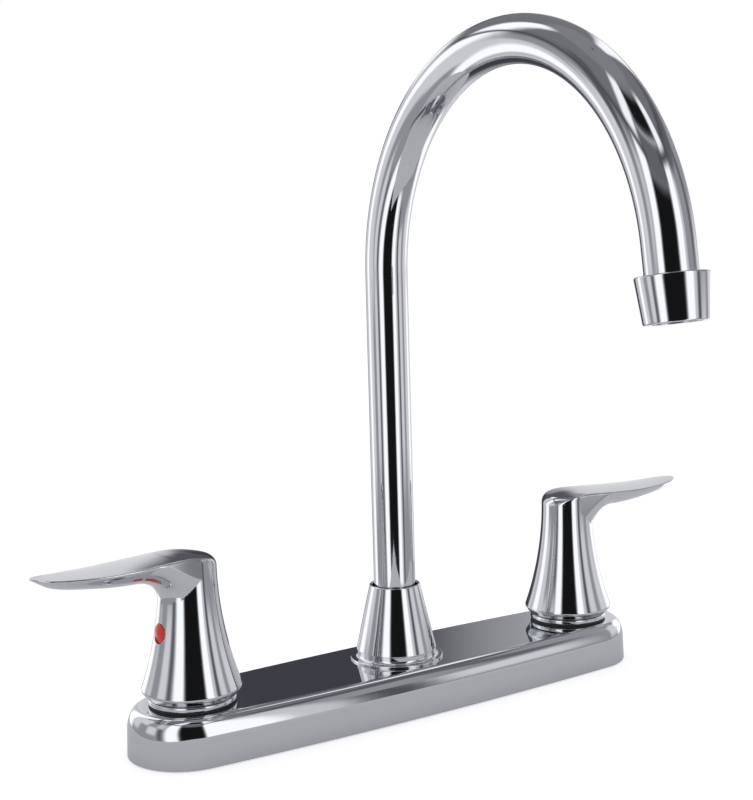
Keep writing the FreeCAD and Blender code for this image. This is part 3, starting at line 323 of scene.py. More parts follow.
def make_piece(name, skin, body, nodes, look, normals=None):
    """Turns a skin into a smooth mesh that rides on a body in place of CAD nodes."""
    merge_reach = 1e-6
    mesh = bpy.data.meshes.new(name)
    points = [Vector(point) * MM for point in skin.points]
    mesh.from_pydata(points, [], [tuple(int(i) for i in face) for face in skin.faces])
    if normals is None:
        shape = bmesh.new()
        shape.from_mesh(mesh)
        bmesh.ops.remove_doubles(shape, verts=shape.verts, dist=merge_reach)
        bmesh.ops.recalc_face_normals(shape, faces=shape.faces)
        shape.to_mesh(mesh)
        shape.free()
    mesh.shade_smooth()
    if normals is not None:
        mesh.normals_split_custom_set_from_vertices([tuple(n) for n in normals])
    mesh.materials.append(look)
    hang(add_object(name, mesh), body, nodes)


def hang(piece, body, nodes):
    """Lets a piece ride on a body, in place of CAD nodes."""
    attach(piece, body)
    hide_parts(*nodes)


def curve_through(knots, heights):
    """Natural cubic curve through points, as a function of an array."""
    x = np.array(knots, float)
    y = np.array(heights, float)
    gaps = np.diff(x)
    count = len(x)
    system = np.eye(count)
    known = np.zeros(count)
    for place in range(1, count - 1):
        before, after = gaps[place - 1], gaps[place]
        system[place, place - 1:place + 2] = before, 2 * (before + after), after
        known[place] = 6 * ((y[place + 1] - y[place]) / after
                            - (y[place] - y[place - 1]) / before)
    bends = np.linalg.solve(system, known)

    def follow(at):
        at = np.clip(at, x[0], x[-1])
        place = np.clip(np.searchsorted(x, at) - 1, 0, count - 2)
        gap = gaps[place]
        left, right = x[place + 1] - at, at - x[place]
        bent = (bends[place] * left ** 3 + bends[place + 1] * right ** 3) / (6 * gap)
        first = (y[place] / gap - bends[place] * gap / 6) * left
        second = (y[place + 1] / gap - bends[place + 1] * gap / 6) * right
        return bent + first + second

    return follow


# ---------------------------------------------------------------- finishes

def add_node(tree, kind, feeds=None, into=None, stops=None, **settings):
    """Adds a node. Settings are its own options, feeds gives each of its inputs a value or
    the output of another node, into sends its outputs on, and stops are the places and
    colours of its ramp."""
    node = tree.nodes.new(kind)
    for key, setting in settings.items():
        setattr(node, key, setting)
    for socket, feed in (feeds or {}).items():
        if isinstance(feed, bpy.types.NodeSocket):
            tree.links.new(feed, node.inputs[socket])
        else:
            node.inputs[socket].default_value = feed
    for socket, goal in (into or {}).items():
        tree.links.new(node.outputs[socket], goal)
    if stops:
        for element, (place, code) in zip(node.color_ramp.elements, stops):
            element.position = place
            element.color = linear(code)
    return node


def per(millimetres):
    """Scale of a pattern whose features are this far apart."""
    return 1 / (millimetres * MM)


def new_finish(name, colour_name, metallic, roughness, ior=None):
    """A material with its even values set on the shader, and its place on the piece."""
    material = bpy.data.materials.new(name)
    material.use_nodes = True
    tree = material.node_tree
    shader = tree.nodes["Principled BSDF"]
    shader.inputs["Base Color"].default_value = getattr(
        bpy.context.scene.faucet_colours, colour_name)
    shader.inputs["Metallic"].default_value = metallic
    shader.inputs["Roughness"].default_value = roughness
    if ior is not None:
        shader.inputs["IOR"].default_value = ior
    place = add_node(tree, "ShaderNodeTexCoord").outputs["Object"]
    return material, tree, shader, place


def chrome_plate():
    """Decorative chrome plate over polished zinc and brass: a mirror with the faint long
    waves of hand buffing and a slight haze that comes and goes over a centimetre or two."""
    material, tree, shader, place = new_finish("chrome_plate", "chrome", 1.0, 0.05)
    haze = add_node(tree, "ShaderNodeTexNoise",
                    {"Vector": place, "Scale": per(14.0), "Detail": 3.0})
    add_node(tree, "ShaderNodeMapRange",
             {"Value": haze.outputs["Fac"], "From Min": 0.3, "From Max": 0.7,
              "To Min": 0.03, "To Max": 0.065}, {"Result": shader.inputs["Roughness"]})
    waves = add_node(tree, "ShaderNodeTexNoise",
                     {"Vector": place, "Scale": per(9.0), "Detail": 1.0})
    add_node(tree, "ShaderNodeBump",
             {"Height": waves.outputs["Fac"], "Strength": 0.05, "Distance": 0.4 * MM},
             {"Normal": shader.inputs["Normal"]})
    return material


def cast_brass():
    """Sand-cast brass, tumbled: a fine pebbled skin, dull gold with darker patches."""
    material, tree, shader, place = new_finish("cast_brass", "brass", 1.0, 0.44)
    patches = add_node(tree, "ShaderNodeTexNoise",
                       {"Vector": place, "Scale": per(6.0), "Detail": 4.0})
    add_node(tree, "ShaderNodeValToRGB", {"Fac": patches.outputs["Fac"]},
             {"Color": shader.inputs["Base Color"]}, ((0.32, "#A8834A"), (0.68, "#C8A263")))
    add_node(tree, "ShaderNodeMapRange",
             {"Value": patches.outputs["Fac"], "From Min": 0.3, "From Max": 0.7,
              "To Min": 0.52, "To Max": 0.36}, {"Result": shader.inputs["Roughness"]})
    grains = add_node(tree, "ShaderNodeTexNoise", {"Vector": place, "Scale": per(0.45)})
    add_node(tree, "ShaderNodeBump",
             {"Height": grains.outputs["Fac"], "Strength": 0.5, "Distance": 0.05 * MM},
             {"Normal": shader.inputs["Normal"]})
    return material


def turned_brass():
    """Free-cutting brass off the lathe: bright, with fine rings from the tool along the
    axis. The rings stand 0.5 mm apart, coarser than real ones, so that they show."""
    material, tree, shader, place = new_finish("turned_brass", "brass", 1.0, 0.22)
    smears = add_node(tree, "ShaderNodeTexNoise", {"Vector": place, "Scale": per(5.0)})
    add_node(tree, "ShaderNodeMapRange",
             {"Value": smears.outputs["Fac"], "From Min": 0.3, "From Max": 0.7,
              "To Min": 0.18, "To Max": 0.28}, {"Result": shader.inputs["Roughness"]})
    # One band of the wave texture is a turn of its sine, taken twenty times its scale.
    rings = add_node(tree, "ShaderNodeTexWave",
                     {"Vector": place, "Scale": per(0.5) * FULL_TURN / 20, "Distortion": 0.4},
                     wave_type="BANDS", bands_direction="Z")
    add_node(tree, "ShaderNodeBump",
             {"Height": rings.outputs["Fac"], "Strength": 0.5, "Distance": 0.01 * MM},
             {"Normal": shader.inputs["Normal"]})
    return material


def drawn_copper():
    """Drawn copper tube: draw lines along its length and a thin brown tarnish in patches.
    The lines are 0.4 mm wide, coarser than real ones, so that they show."""
    material, tree, shader, place = new_finish("drawn_copper", "copper", 1.0, 0.3)
    tarnish = add_node(tree, "ShaderNodeTexNoise",
                       {"Vector": place, "Scale": per(12.0), "Detail": 4.0})
    add_node(tree, "ShaderNodeValToRGB", {"Fac": tarnish.outputs["Fac"]},
             {"Color": shader.inputs["Base Color"]}, ((0.32, "#A9633F"), (0.68, "#CF8A63")))
    stretched = add_node(tree, "ShaderNodeMapping", {"Vector": place, "Scale": (0.03, 1, 1)})
    lines = add_node(tree, "ShaderNodeTexNoise",
                     {"Vector": stretched.outputs["Vector"], "Scale": per(0.4)})
    add_node(tree, "ShaderNodeBump",
             {"Height": lines.outputs["Fac"], "Strength": 0.4, "Distance": 0.02 * MM},
             {"Normal": shader.inputs["Normal"]})
    return material


def pressed_stainless():
    """Stainless steel strip and wire: grey, with the fine grain of rolling, drawn 0.25 mm
    wide so that it shows."""
    material, tree, shader, place = new_finish("pressed_stainless", "steel", 1.0, 0.3)
    stretched = add_node(tree, "ShaderNodeMapping", {"Vector": place, "Scale": (1, 0.05, 1)})
    grain = add_node(tree, "ShaderNodeTexNoise",
                     {"Vector": stretched.outputs["Vector"], "Scale": per(0.25)})
    add_node(tree, "ShaderNodeMapRange",
             {"Value": grain.outputs["Fac"], "From Min": 0.3, "From Max": 0.7,
              "To Min": 0.24, "To Max": 0.36}, {"Result": shader.inputs["Roughness"]})
    add_node(tree, "ShaderNodeBump",
             {"Height": grain.outputs["Fac"], "Strength": 0.5, "Distance": 0.005 * MM},
             {"Normal": shader.inputs["Normal"]})
    return material


def moulded_rubber():
    """Moulded nitrile rubber: matt black with a soft bloom and a fine spark-eroded grain."""
    material, tree, shader, place = new_finish("moulded_rubber", "rubber", 0.0, 0.62, 1.52)
    bloom = add_node(tree, "ShaderNodeTexNoise",
                     {"Vector": place, "Scale": per(10.0), "Detail": 3.0})
    add_node(tree, "ShaderNodeValToRGB", {"Fac": bloom.outputs["Fac"]},
             {"Color": shader.inputs["Base Color"]}, ((0.32, "#18181A"), (0.68, "#242426")))
    grain = add_node(tree, "ShaderNodeTexNoise", {"Vector": place, "Scale": per(0.35)})
    add_node(tree, "ShaderNodeBump",
             {"Height": grain.outputs["Fac"], "Strength": 0.6, "Distance": 0.03 * MM},
             {"Normal": shader.inputs["Normal"]})
    return material


def lapped_alumina():
    """Alumina ceramic, lapped flat: ivory white with a satin face and faint mottling."""
    material, tree, shader, place = new_finish("lapped_alumina", "ceramic", 0.0, 0.25, 1.76)
    mottling = add_node(tree, "ShaderNodeTexNoise", {"Vector": place, "Scale": per(1.5)})
    add_node(tree, "ShaderNodeValToRGB", {"Fac": mottling.outputs["Fac"]},
             {"Color": shader.inputs["Base Color"]}, ((0.32, "#E8E5DA"), (0.68, "#F2F0E8")))
    add_node(tree, "ShaderNodeMapRange",
             {"Value": mottling.outputs["Fac"], "From Min": 0.3, "From Max": 0.7,
              "To Min": 0.2, "To Max": 0.32}, {"Result": shader.inputs["Roughness"]})
    return material


def moulded_acetal():
    """Injection-moulded acetal: milky white, slightly waxy, with a fine mould texture."""
    material, tree, shader, place = new_finish("moulded_acetal", "white_plastic", 0.0, 0.38,
                                               1.48)
    shader.inputs["Subsurface Weight"].default_value = 0.15
    shader.inputs["Subsurface Radius"].default_value = (MM, MM, MM)
    clouds = add_node(tree, "ShaderNodeTexNoise", {"Vector": place, "Scale": per(4.0)})
    add_node(tree, "ShaderNodeValToRGB", {"Fac": clouds.outputs["Fac"]},
             {"Color": shader.inputs["Base Color"]}, ((0.32, "#DEDDD7"), (0.68, "#E8E7E2")))
    grain = add_node(tree, "ShaderNodeTexNoise", {"Vector": place, "Scale": per(0.3)})
    add_node(tree, "ShaderNodeBump",
             {"Height": grain.outputs["Fac"], "Strength": 0.5, "Distance": 0.01 * MM},
             {"Normal": shader.inputs["Normal"]})
    return material


def moulded_button(name, colour_name):
    """Glossy ABS index button, fresh from the mould, with the faint orange peel of a thick
    little moulding."""
    material, tree, shader, place = new_finish(name, colour_name, 0.0, 0.2, 1.54)
    flow = add_node(tree, "ShaderNodeTexNoise", {"Vector": place, "Scale": per(2.0)})
    add_node(tree, "ShaderNodeMapRange",
             {"Value": flow.outputs["Fac"], "From Min": 0.3, "From Max": 0.7,
              "To Min": 0.18, "To Max": 0.3}, {"Result": shader.inputs["Roughness"]})
    peel = add_node(tree, "ShaderNodeTexNoise", {"Vector": place, "Scale": per(0.8)})
    add_node(tree, "ShaderNodeBump",
             {"Height": peel.outputs["Fac"], "Strength": 0.4, "Distance": 0.02 * MM},
             {"Normal": shader.inputs["Normal"]})
    return material


MAKERS = {
    "chrome_plate": chrome_plate,
    "cast_brass": cast_brass,
    "turned_brass": turned_brass,
    "drawn_copper": drawn_copper,
    "pressed_stainless": pressed_stainless,
    "moulded_rubber": moulded_rubber,
    "lapped_alumina": lapped_alumina,
    "moulded_acetal": moulded_acetal,
    "red_abs": lambda: moulded_button("red_abs", "red"),
    "blue_abs": lambda: moulded_button("blue_abs", "blue"),
}
FINISHES = {}


def finish(name):
    """Each finish is made once, when the first piece asks for it."""
    if name not in FINISHES:
        FINISHES[name] = MAKERS[name]()
    return FINISHES[name]


# ---------------------------------------------------------------- deck plate

def plate_line(sizes, end_steps, side_steps):
    """Points of the plate's plan and their outward directions, anticlockwise from the front
    right: two end arcs and two long bowed arcs, each tangent to the next."""
    end_centre = sizes.half_length - sizes.end_radius
    bow = sizes.half_width - sizes.end_radius
    side_centre = (end_centre ** 2 - bow ** 2) / (2 * bow)
    side_radius = side_centre + sizes.half_width
    lean = math.atan2(side_centre, end_centre)
    arcs = (
        (end_centre, 0, sizes.end_radius, -lean, lean, end_steps),
        (0, -side_centre, side_radius, lean, math.pi - lean, side_steps),
        (-end_centre, 0, sizes.end_radius, math.pi - lean, math.pi + lean, end_steps),
        (0, side_centre, side_radius, math.pi + lean, FULL_TURN - lean, side_steps),
    )
    points = []
    outward = []
    for across, up, radius, first, last, steps in arcs:
        for number in range(steps):
            turn = first + (last - first) * number / steps
            way = np.array((math.cos(turn), math.sin(turn)))
            points.append(np.array((across, up)) + way * radius)
            outward.append(way)
    return np.array(points), np.array(outward)


def rolled_edge(height, run, drop, inset, steps):
    """Stations (inset, height) from the top of a wall over its rolled top edge, with one
    more close to each end that keeps the shading of the flat beyond it flat."""
    below, beyond = 0.4, 0.15
    stations = [(inset, height - drop - below)]
    for number in range(steps + 1):
        turn = math.pi / 2 * number / steps
        stations.append((inset + run * (1 - math.cos(turn)),
                         height - drop * (1 - math.sin(turn))))
    stations.append((inset + run + beyond, height))
    return stations


def fill_flat(skin, outer, holes, height):
    """Flat field between an outline and round holes, in neat triangles."""
    constrained, merge_reach, nearly_all = 2, 1e-5, 0.999
    flat = [Vector(skin.points[i][:2]) for i in outer]
    edges = [(i, (i + 1) % len(outer)) for i in range(len(outer))]
    owners = list(outer)
    for hole in holes:
        start = len(flat)
        flat += [Vector(skin.points[i][:2]) for i in hole]
        owners += hole
        edges += [(start + i, start + (i + 1) % len(hole)) for i in range(len(hole))]
    inner, _, faces, originals, _, _ = geometry.delaunay_2d_cdt(
        flat, edges, [], constrained, merge_reach)
    centres = [sum((Vector(skin.points[i][:2]) for i in hole), Vector((0, 0))) / len(hole)
               for hole in holes]
    reaches = [(Vector(skin.points[hole[0]][:2]) - centre).length
               for hole, centre in zip(holes, centres)]
    known = [owners[found[0]] if found else skin.ring([(*inner[n], height)])[0]
             for n, found in enumerate(originals)]
    for face in faces:
        middle = sum((inner[i] for i in face), Vector((0, 0))) / len(face)
        if all((middle - centre).length > reach * nearly_all
               for centre, reach in zip(centres, reaches)):
            skin.faces.append(tuple(known[i] for i in face))


def circle_points(across, radius, height, around=72):
    """A level circle about an upright axis on the centre line."""
    turns = [FULL_TURN * number / around for number in range(around)]
    return [(across + radius * math.cos(turn), radius * math.sin(turn), height)
            for turn in turns]


class FAUCET_OT_deck_plate(bpy.types.Operator):
    """Builds the hollow deck plate with its rolled edge and its three holes"""
    bl_idname = "faucet.deck_plate"
    bl_label = "Deck plate"

    def execute(self, context):
        sizes = in_millimetres("faucet_plate")
        skin = Skin()
        line, outward = plate_line(sizes, end_steps=88, side_steps=72)

        def level(inset, height):
            return skin.ring((*point, height) for point in line - outward * inset)

        # Rings close to each change of slope, and round each hole, keep the shading of the
        # long faces flat.
        rim, eased, near, lip = 0.25, 0.075, 0.5, 0.2
        foot = sizes.height - sizes.edge_drop
        outside = [level(rim, 0), level(eased, eased), level(0, rim),
                   level(sizes.draft * near / foot, rim + near),
                   level(sizes.draft * (1 - near / foot), foot - near)]
        outside += [level(*station) for station in
                    rolled_edge(sizes.height, sizes.edge_run, sizes.edge_drop, sizes.draft,
                                steps=26)]
        ceiling = sizes.height - sizes.wall
        inside = [level(sizes.wall, 0), level(sizes.wall, foot / 2)]
        inside += [level(*station) for station in
                   rolled_edge(ceiling, sizes.edge_run - sizes.wall,
                               sizes.edge_drop - sizes.wall, sizes.wall + sizes.draft,
                               steps=8)]
        skin.bridge_all(outside)
        skin.bridge_all(inside)
        skin.bridge(outside[0], inside[0])
        above, below = [], []
        for across, radius in ((-sizes.handle_distance, sizes.handle_hole),
                               (0, sizes.spout_hole),
                               (sizes.handle_distance, sizes.handle_hole)):
            hole = [skin.ring(circle_points(across, reach, up))
                    for reach, up in ((radius + lip, sizes.height), (radius, sizes.height),
                                      (radius, ceiling), (radius + lip, ceiling))]
            skin.bridge_all(hole)
            above.append(hole[0])
            below.append(hole[-1])
        fill_flat(skin, outside[-1], above, sizes.height)
        fill_flat(skin, inside[-1], below, ceiling)
        make_piece("plated_deck_plate", skin, "deck", ["deck_plate"],
                   finish("chrome_plate"))
        return {"FINISHED"}


# ---------------------------------------------------------------- spout

def add_gooseneck_tree():
    """Geometry nodes that sweep a round tube along the edges they are given."""
    tree = bpy.data.node_groups.new("tube_along_path", "GeometryNodeTree")
    face = tree.interface
    face.new_socket("Path", in_out="INPUT", socket_type="NodeSocketGeometry")
    face.new_socket("Outside radius", in_out="INPUT", socket_type="NodeSocketFloat")
    face.new_socket("Sides", in_out="INPUT", socket_type="NodeSocketInt")
    face.new_socket("Finish", in_out="INPUT", socket_type="NodeSocketMaterial")
    face.new_socket("Tube", in_out="OUTPUT", socket_type="NodeSocketGeometry")
    given = add_node(tree, "NodeGroupInput")
    path = add_node(tree, "GeometryNodeMeshToCurve", {"Mesh": given.outputs["Path"]})
    section = add_node(tree, "GeometryNodeCurvePrimitiveCircle",
                       {"Resolution": given.outputs["Sides"],
                        "Radius": given.outputs["Outside radius"]}, mode="RADIUS")
    swept = add_node(tree, "GeometryNodeCurveToMesh",
                     {"Curve": path.outputs["Curve"],
                      "Profile Curve": section.outputs["Curve"]})
    smooth = add_node(tree, "GeometryNodeSetShadeSmooth",
                      {"Geometry": swept.outputs["Mesh"], "Shade Smooth": True})
    real = add_node(tree, "GeometryNodeRealizeInstances",
                    {"Geometry": smooth.outputs["Geometry"]})
    coated = add_node(tree, "GeometryNodeSetMaterial",
                      {"Geometry": real.outputs["Geometry"],
                       "Material": given.outputs["Finish"]})
    add_node(tree, "NodeGroupOutput", {"Tube": coated.outputs["Geometry"]})
    return tree


def gooseneck_path(sizes):
    """Centre line of the tube: up, round the bend and straight down into the aerator."""
    rise_steps, bend_steps = 24, 180
    points = [(0, 0, sizes.bottom + (sizes.rise - sizes.bottom) * number / rise_steps)
              for number in range(rise_steps)]
    for number in range(bend_steps + 1):
        turn = sizes.bend_angle * number / bend_steps
        points.append((0, -sizes.bend_radius * (1 - math.cos(turn)),
                       sizes.rise + sizes.bend_radius * math.sin(turn)))
    last = Vector(points[-1])
    way = Vector((0, -math.sin(sizes.bend_angle), math.cos(sizes.bend_angle)))
    for share in (0.25, 0.5, 0.75, 1.0):
        points.append(last + way * (sizes.end_straight + sizes.end_insert) * share)
    swivel = Matrix.Rotation(-sizes.rest_turn, 4, "Z")
    return [swivel @ Vector(point) for point in points]


class FAUCET_OT_spout(bpy.types.Operator):
    """Sweeps the gooseneck tube along its path with geometry nodes"""
    bl_idname = "faucet.spout"
    bl_label = "Spout tube"

    def execute(self, context):
        sizes = in_millimetres("faucet_spout")
        points = [point * MM for point in gooseneck_path(sizes)]
        mesh = bpy.data.meshes.new("gooseneck_path")
        mesh.from_pydata(points, [(n, n + 1) for n in range(len(points) - 1)], [])
        path = add_object("gooseneck_path", mesh)
        nodes = path.modifiers.new("tube", "NODES")
        tree = add_gooseneck_tree()
        settings = {"Outside radius": sizes.radius * MM, "Sides": 112,
                    "Finish": finish("chrome_plate")}
        sockets = {item.name: item.identifier for item in tree.interface.items_tree}
        nodes.node_group = tree
        for name, setting in settings.items():
            nodes[sockets[name]] = setting
        wall = path.modifiers.new("wall", "SOLIDIFY")
        wall.thickness = sizes.wall * MM
        wall.offset = -1
        graph = context.evaluated_depsgraph_get()
        made = bpy.data.meshes.new_from_object(path.evaluated_get(graph))
        bpy.data.objects.remove(path)
        made.name = "gooseneck_tube"
        hang(add_object("gooseneck_tube", made), "spout", ["spout_tube"])
        return {"FINISHED"}


class FAUCET_OT_collar(bpy.types.Operator):
    """Turns the collar at the foot of the spout"""
    bl_idname = "faucet.collar"
    bl_label = "Collar"

    def execute(self, context):
        sizes = in_millimetres("faucet_collar")
        base = in_millimetres("faucet_plate").height
        flange_top = base + sizes.flange_height
        cone_foot = base + sizes.cone_bottom
        slope = (sizes.cone_radius - sizes.top_radius) / (sizes.top - cone_foot)
        mouth = sizes.top - sizes.mouth_depth
        thread_wall = (sizes.cone_radius - slope * (sizes.thread_top - cone_foot)
                       - sizes.wall)
        # The cove meets the cone in a fine step.
        cove_face, step_foot, step_top = sizes.cone_radius - 0.2, cone_foot - 0.5, cone_foot - 0.3
        outline = rounded([
            (sizes.bore_radius, base, 0),
            (sizes.flange_radius, base, EASED),
            (sizes.flange_radius, flange_top, sizes.flange_edge),
            (cove_face, flange_top, sizes.cove),
            (cove_face, step_foot, EASED),
            (sizes.cone_radius, step_top, EASED),
            (sizes.cone_radius, cone_foot, EASED),
            (sizes.top_radius, sizes.top, sizes.rim_edge),
            (sizes.mouth_radius, sizes.top, sizes.mouth_edge),
            (sizes.mouth_radius, mouth, 0),
            (sizes.top_radius + slope * sizes.mouth_depth - sizes.wall, mouth, 0),
            (thread_wall, sizes.thread_top, 0),
            (sizes.bore_radius, sizes.thread_top, 0),
        ])
        make_piece("plated_collar", turned(outline, around=176), "deck", ["collar"],
                   finish("chrome_plate"))
        return {"FINISHED"}


def outlet_place():
    """Where the aerator sits on the tube's end, its own +Z along the flow."""
    sizes = in_millimetres("faucet_spout")
    sweep = sizes.bend_angle
    across = -sizes.bend_radius * (1 - math.cos(sweep)) - sizes.end_straight * math.sin(sweep)
    up = sizes.rise + sizes.bend_radius * math.sin(sweep) + sizes.end_straight * math.cos(sweep)
    return (Matrix.Rotation(-sizes.rest_turn, 4, "Z") @ Matrix.Translation((0, across, up))
            @ Matrix.Rotation(sweep, 4, "X"))


class FAUCET_OT_aerator(bpy.types.Operator):
    """Turns the aerator housing on the end of the tube"""
    bl_idname = "faucet.aerator"
    bl_label = "Aerator housing"

    def execute(self, context):
        sizes = in_millimetres("faucet_aerator")
        outline = rounded([
            (sizes.bore_radius, 0, sizes.bore_edge),
            (sizes.top_radius, 0, sizes.upper_edge),
            (sizes.bottom_radius, sizes.height, sizes.lower_edge),
            (sizes.lip_radius, sizes.height, sizes.lip_edge),
            (sizes.lip_radius, sizes.lip_depth, 0),
            (sizes.insert_radius, sizes.lip_depth, 0),
            (sizes.insert_radius, sizes.ledge, 0),
            (sizes.bore_radius, sizes.ledge, 0),
        ])
        make_piece("plated_aerator_housing",
                   turned(outline, around=144, place=outlet_place()), "spout",
                   ["aerator_housing"], finish("chrome_plate"))
        return {"FINISHED"}


# ---------------------------------------------------------------- handles

def soft_min(first, second, reach):
    """The lower of two fields, run together where they differ by less than reach."""
    least = 1e-9
    share = np.maximum(reach - np.abs(first - second), 0) / max(reach, least)
    return np.minimum(first, second) - share ** 2 * reach / 4


def soft_max(first, second, reach):
    """The higher of two fields, run together where they differ by less than reach."""
    return -soft_min(-first, -second, reach)


class HandleForm:
    """The handle as one field, below zero inside: a hollow-sided body, a boat-shaped lever
    run into it by a gusset, and one crowned top that trims both."""

    def __init__(self, sizes):
        self.sizes = sizes
        spread = sizes.skirt_radius - sizes.waist_radius
        fall = sizes.waist_height - sizes.crease_height
        self.side_radius = (fall ** 2 + spread ** 2) / (2 * spread)
        # Stations along the lever, from behind the axis out to the tip.
        self.edge_height = curve_through(
            (-16, -12, -9.6, -6.3, -0.8, 5, 10, 20, 30, 40, 50, 60, 68),
            (77.6, 78.9, 79.7, 80.6, 81.7, 82.1, 81.9, 81.3, 80.9, 80.7, 81.0, 81.7, 82.7))
        # How far the top rolls down to the crease round the heel.
        self.heel_roll = curve_through((-16, -12, -9.6, -6.3, -0.8, 4, 68),
                                       (2.8, 2.7, 2.3, 1.0, 0.1, 0, 0))
        self.half_width = curve_through(
            (-16, 0, 10, 20, 30, 40, 46, 50, 55, 60, 64, 68),
            (11.9, 11.9, 12.1, 12.2, 12.0, 11.1, 10.2, 9.5, 8.55, 7.4, 6.3, 5.1))
        self.depth = curve_through(
            (-16, 0, 26, 34, 46, 55, 60, 64, 68),
            (7.6, 7.6, 7.5, 6.9, 5.6, 4.7, 3.8, 2.6, 1.2))

    def width_at(self, along):
        """Half the width, rounded in plan towards the tip."""
        start, nearly_all = self.sizes.tip_start, 0.9995
        share = np.clip((along - start) / (self.sizes.reach - start), 0, nearly_all)
        return self.half_width(along) * np.sqrt(1 - share ** 2)

    def side(self, radius, height):
        """Hollow side of the body, upright at the waist."""
        level = np.minimum(height, self.sizes.waist_height)
        centre = self.sizes.waist_radius + self.side_radius
        return self.side_radius - np.hypot(radius - centre, level - self.sizes.waist_height)

    def bevel(self, radius, height):
        """Short slope under the crease of the skirt."""
        sizes = self.sizes
        rise = sizes.crease_height - sizes.skirt_bottom
        run = sizes.skirt_radius - sizes.skirt_bottom_radius
        return ((radius - sizes.skirt_bottom_radius) * rise
                - (height - sizes.skirt_bottom) * run) / math.hypot(rise, run)

    def top(self, along, across, height):
        """Crowned top, measured upright."""
        half = self.width_at(np.maximum(along, 0))
        waist = self.sizes.waist_radius
        crown = self.sizes.crown * (half ** 2 - across ** 2) / waist ** 2
        start = self.sizes.heel_flat
        just_past = 1.2
        rim = np.clip((np.hypot(along, across) - start) / (waist - start), 0, just_past)
        return height - self.edge_height(along) - crown + self.heel_roll(along) * rim ** 3

    def section(self, along):
        """Half width, depth and radius of the lever's round underside."""
        half = self.width_at(along)
        depth = self.depth(along) * half / self.half_width(along)
        return half, depth, (half ** 2 + depth ** 2) / (2 * depth)

    def belly(self, along, across, height):
        """Round underside of the lever, through both of its edges."""
        half, depth, radius = self.section(along)
        centre = self.edge_height(along) - depth + radius
        return np.maximum(np.hypot(across, height - centre) - radius, -along)

    def root(self, along, across, height):
        """Gusset that sweeps down from the lever and runs out flush with the body, between
        sides that draw in downwards."""
        sizes = self.sizes
        # Where it meets the body it keeps about a third of the belly's curve across.
        kept, proud, least = 0.35, 0.1, 0.01
        half, depth, radius = self.section(along)
        reach, fall = sizes.gusset, sizes.gusset_drop
        off = self.side(np.hypot(along, across), height)
        rise = radius - np.sqrt(np.maximum(radius ** 2 - across ** 2, least))
        rise = rise * (kept + (1 - kept) * np.clip(off / reach, 0, 1))
        under = self.edge_height(along) - depth + rise - height
        near = np.maximum(1 - off / reach, 0)
        low = np.maximum(1 - under / fall, 0)
        sweep = (1 - np.hypot(near, low)) * min(reach, fall)
        deep = np.clip(self.edge_height(along) - sizes.gusset_shoulder - height, 0, None)
        side = np.abs(across) - half - proud + math.tan(sizes.gusset_draft) * deep
        sweep = soft_max(sweep, side, sizes.gusset_corner)
        return np.maximum.reduce([sweep, under - fall, -along])

    def outside(self, along, across, height):
        """Body, lever and gusset together, under the one top."""
        sizes = self.sizes
        radius = np.hypot(along, across)
        body = soft_max(self.side(radius, height), self.bevel(radius, height), sizes.edge)
        body = soft_max(body, sizes.skirt_bottom - height, sizes.edge)
        lever = soft_min(body, self.belly(along, across, height), sizes.root_blend)
        whole = np.minimum(lever, self.root(along, across, height))
        return soft_max(whole, self.top(along, across, height), sizes.edge)

    def hollow(self, along, across, height):
        """Room inside the skirt, the bore for the stem and the hole behind the button."""
        sizes = self.sizes
        rim_wall = 0.8 * sizes.skirt_wall
        overlap, clearance = 1, 0.05
        radius = np.hypot(along, across)
        room = np.maximum(self.side(radius, height) + sizes.skirt_wall,
                          self.bevel(radius, height) + rim_wall)
        room = np.maximum(room, height - sizes.socket_bottom)
        bore = np.maximum(radius - sizes.bore_radius, height - sizes.bore_top)
        bore = np.maximum(bore, sizes.socket_bottom - overlap - height)
        off = np.hypot(across, height - sizes.button_height)
        screw = np.maximum(off - sizes.screw_hole, sizes.bore_radius / 2 - along)
        button = np.maximum(off - sizes.button_radius - clearance,
                            sizes.button_seat - along)
        return np.minimum(np.minimum(room, bore), np.minimum(screw, button))

    def field(self, points):
        """The whole handle's field at points."""
        along, across, height = points[..., 0], points[..., 1], points[..., 2]
        outside = self.outside(along, across, height)
        return np.maximum(outside, -self.hollow(along, across, height))


def slope_of(field, points, step=0.01):
    """Upward direction of a field at points."""
    parts = []
    for axis in range(3):
        shift = np.zeros(3)
        shift[axis] = step
        parts.append((field(points + shift) - field(points - shift)) / (2 * step))
    return np.stack(parts, axis=-1)


def drawn_onto(field, points, reach):
    """Points moved along the slope onto the surface, by no more than reach on each axis."""
    passes, least = 6, 1e-6
    start = points.copy()
    for _ in range(passes):
        slope = slope_of(field, points)
        size = np.maximum((slope ** 2).sum(-1), least)
        points = points - slope * (field(points) / size)[:, None]
        points = start + np.clip(points - start, -reach, reach)
    return points


def cells_beside(found, axis, back):
    """Index of the cells that touch edges along an axis, from how many cells back they lie
    on the other two."""
    cell = found.copy()
    cell[:, (axis + 1) % 3] -= back[0]
    cell[:, (axis + 2) % 3] -= back[1]
    return tuple(cell.T)


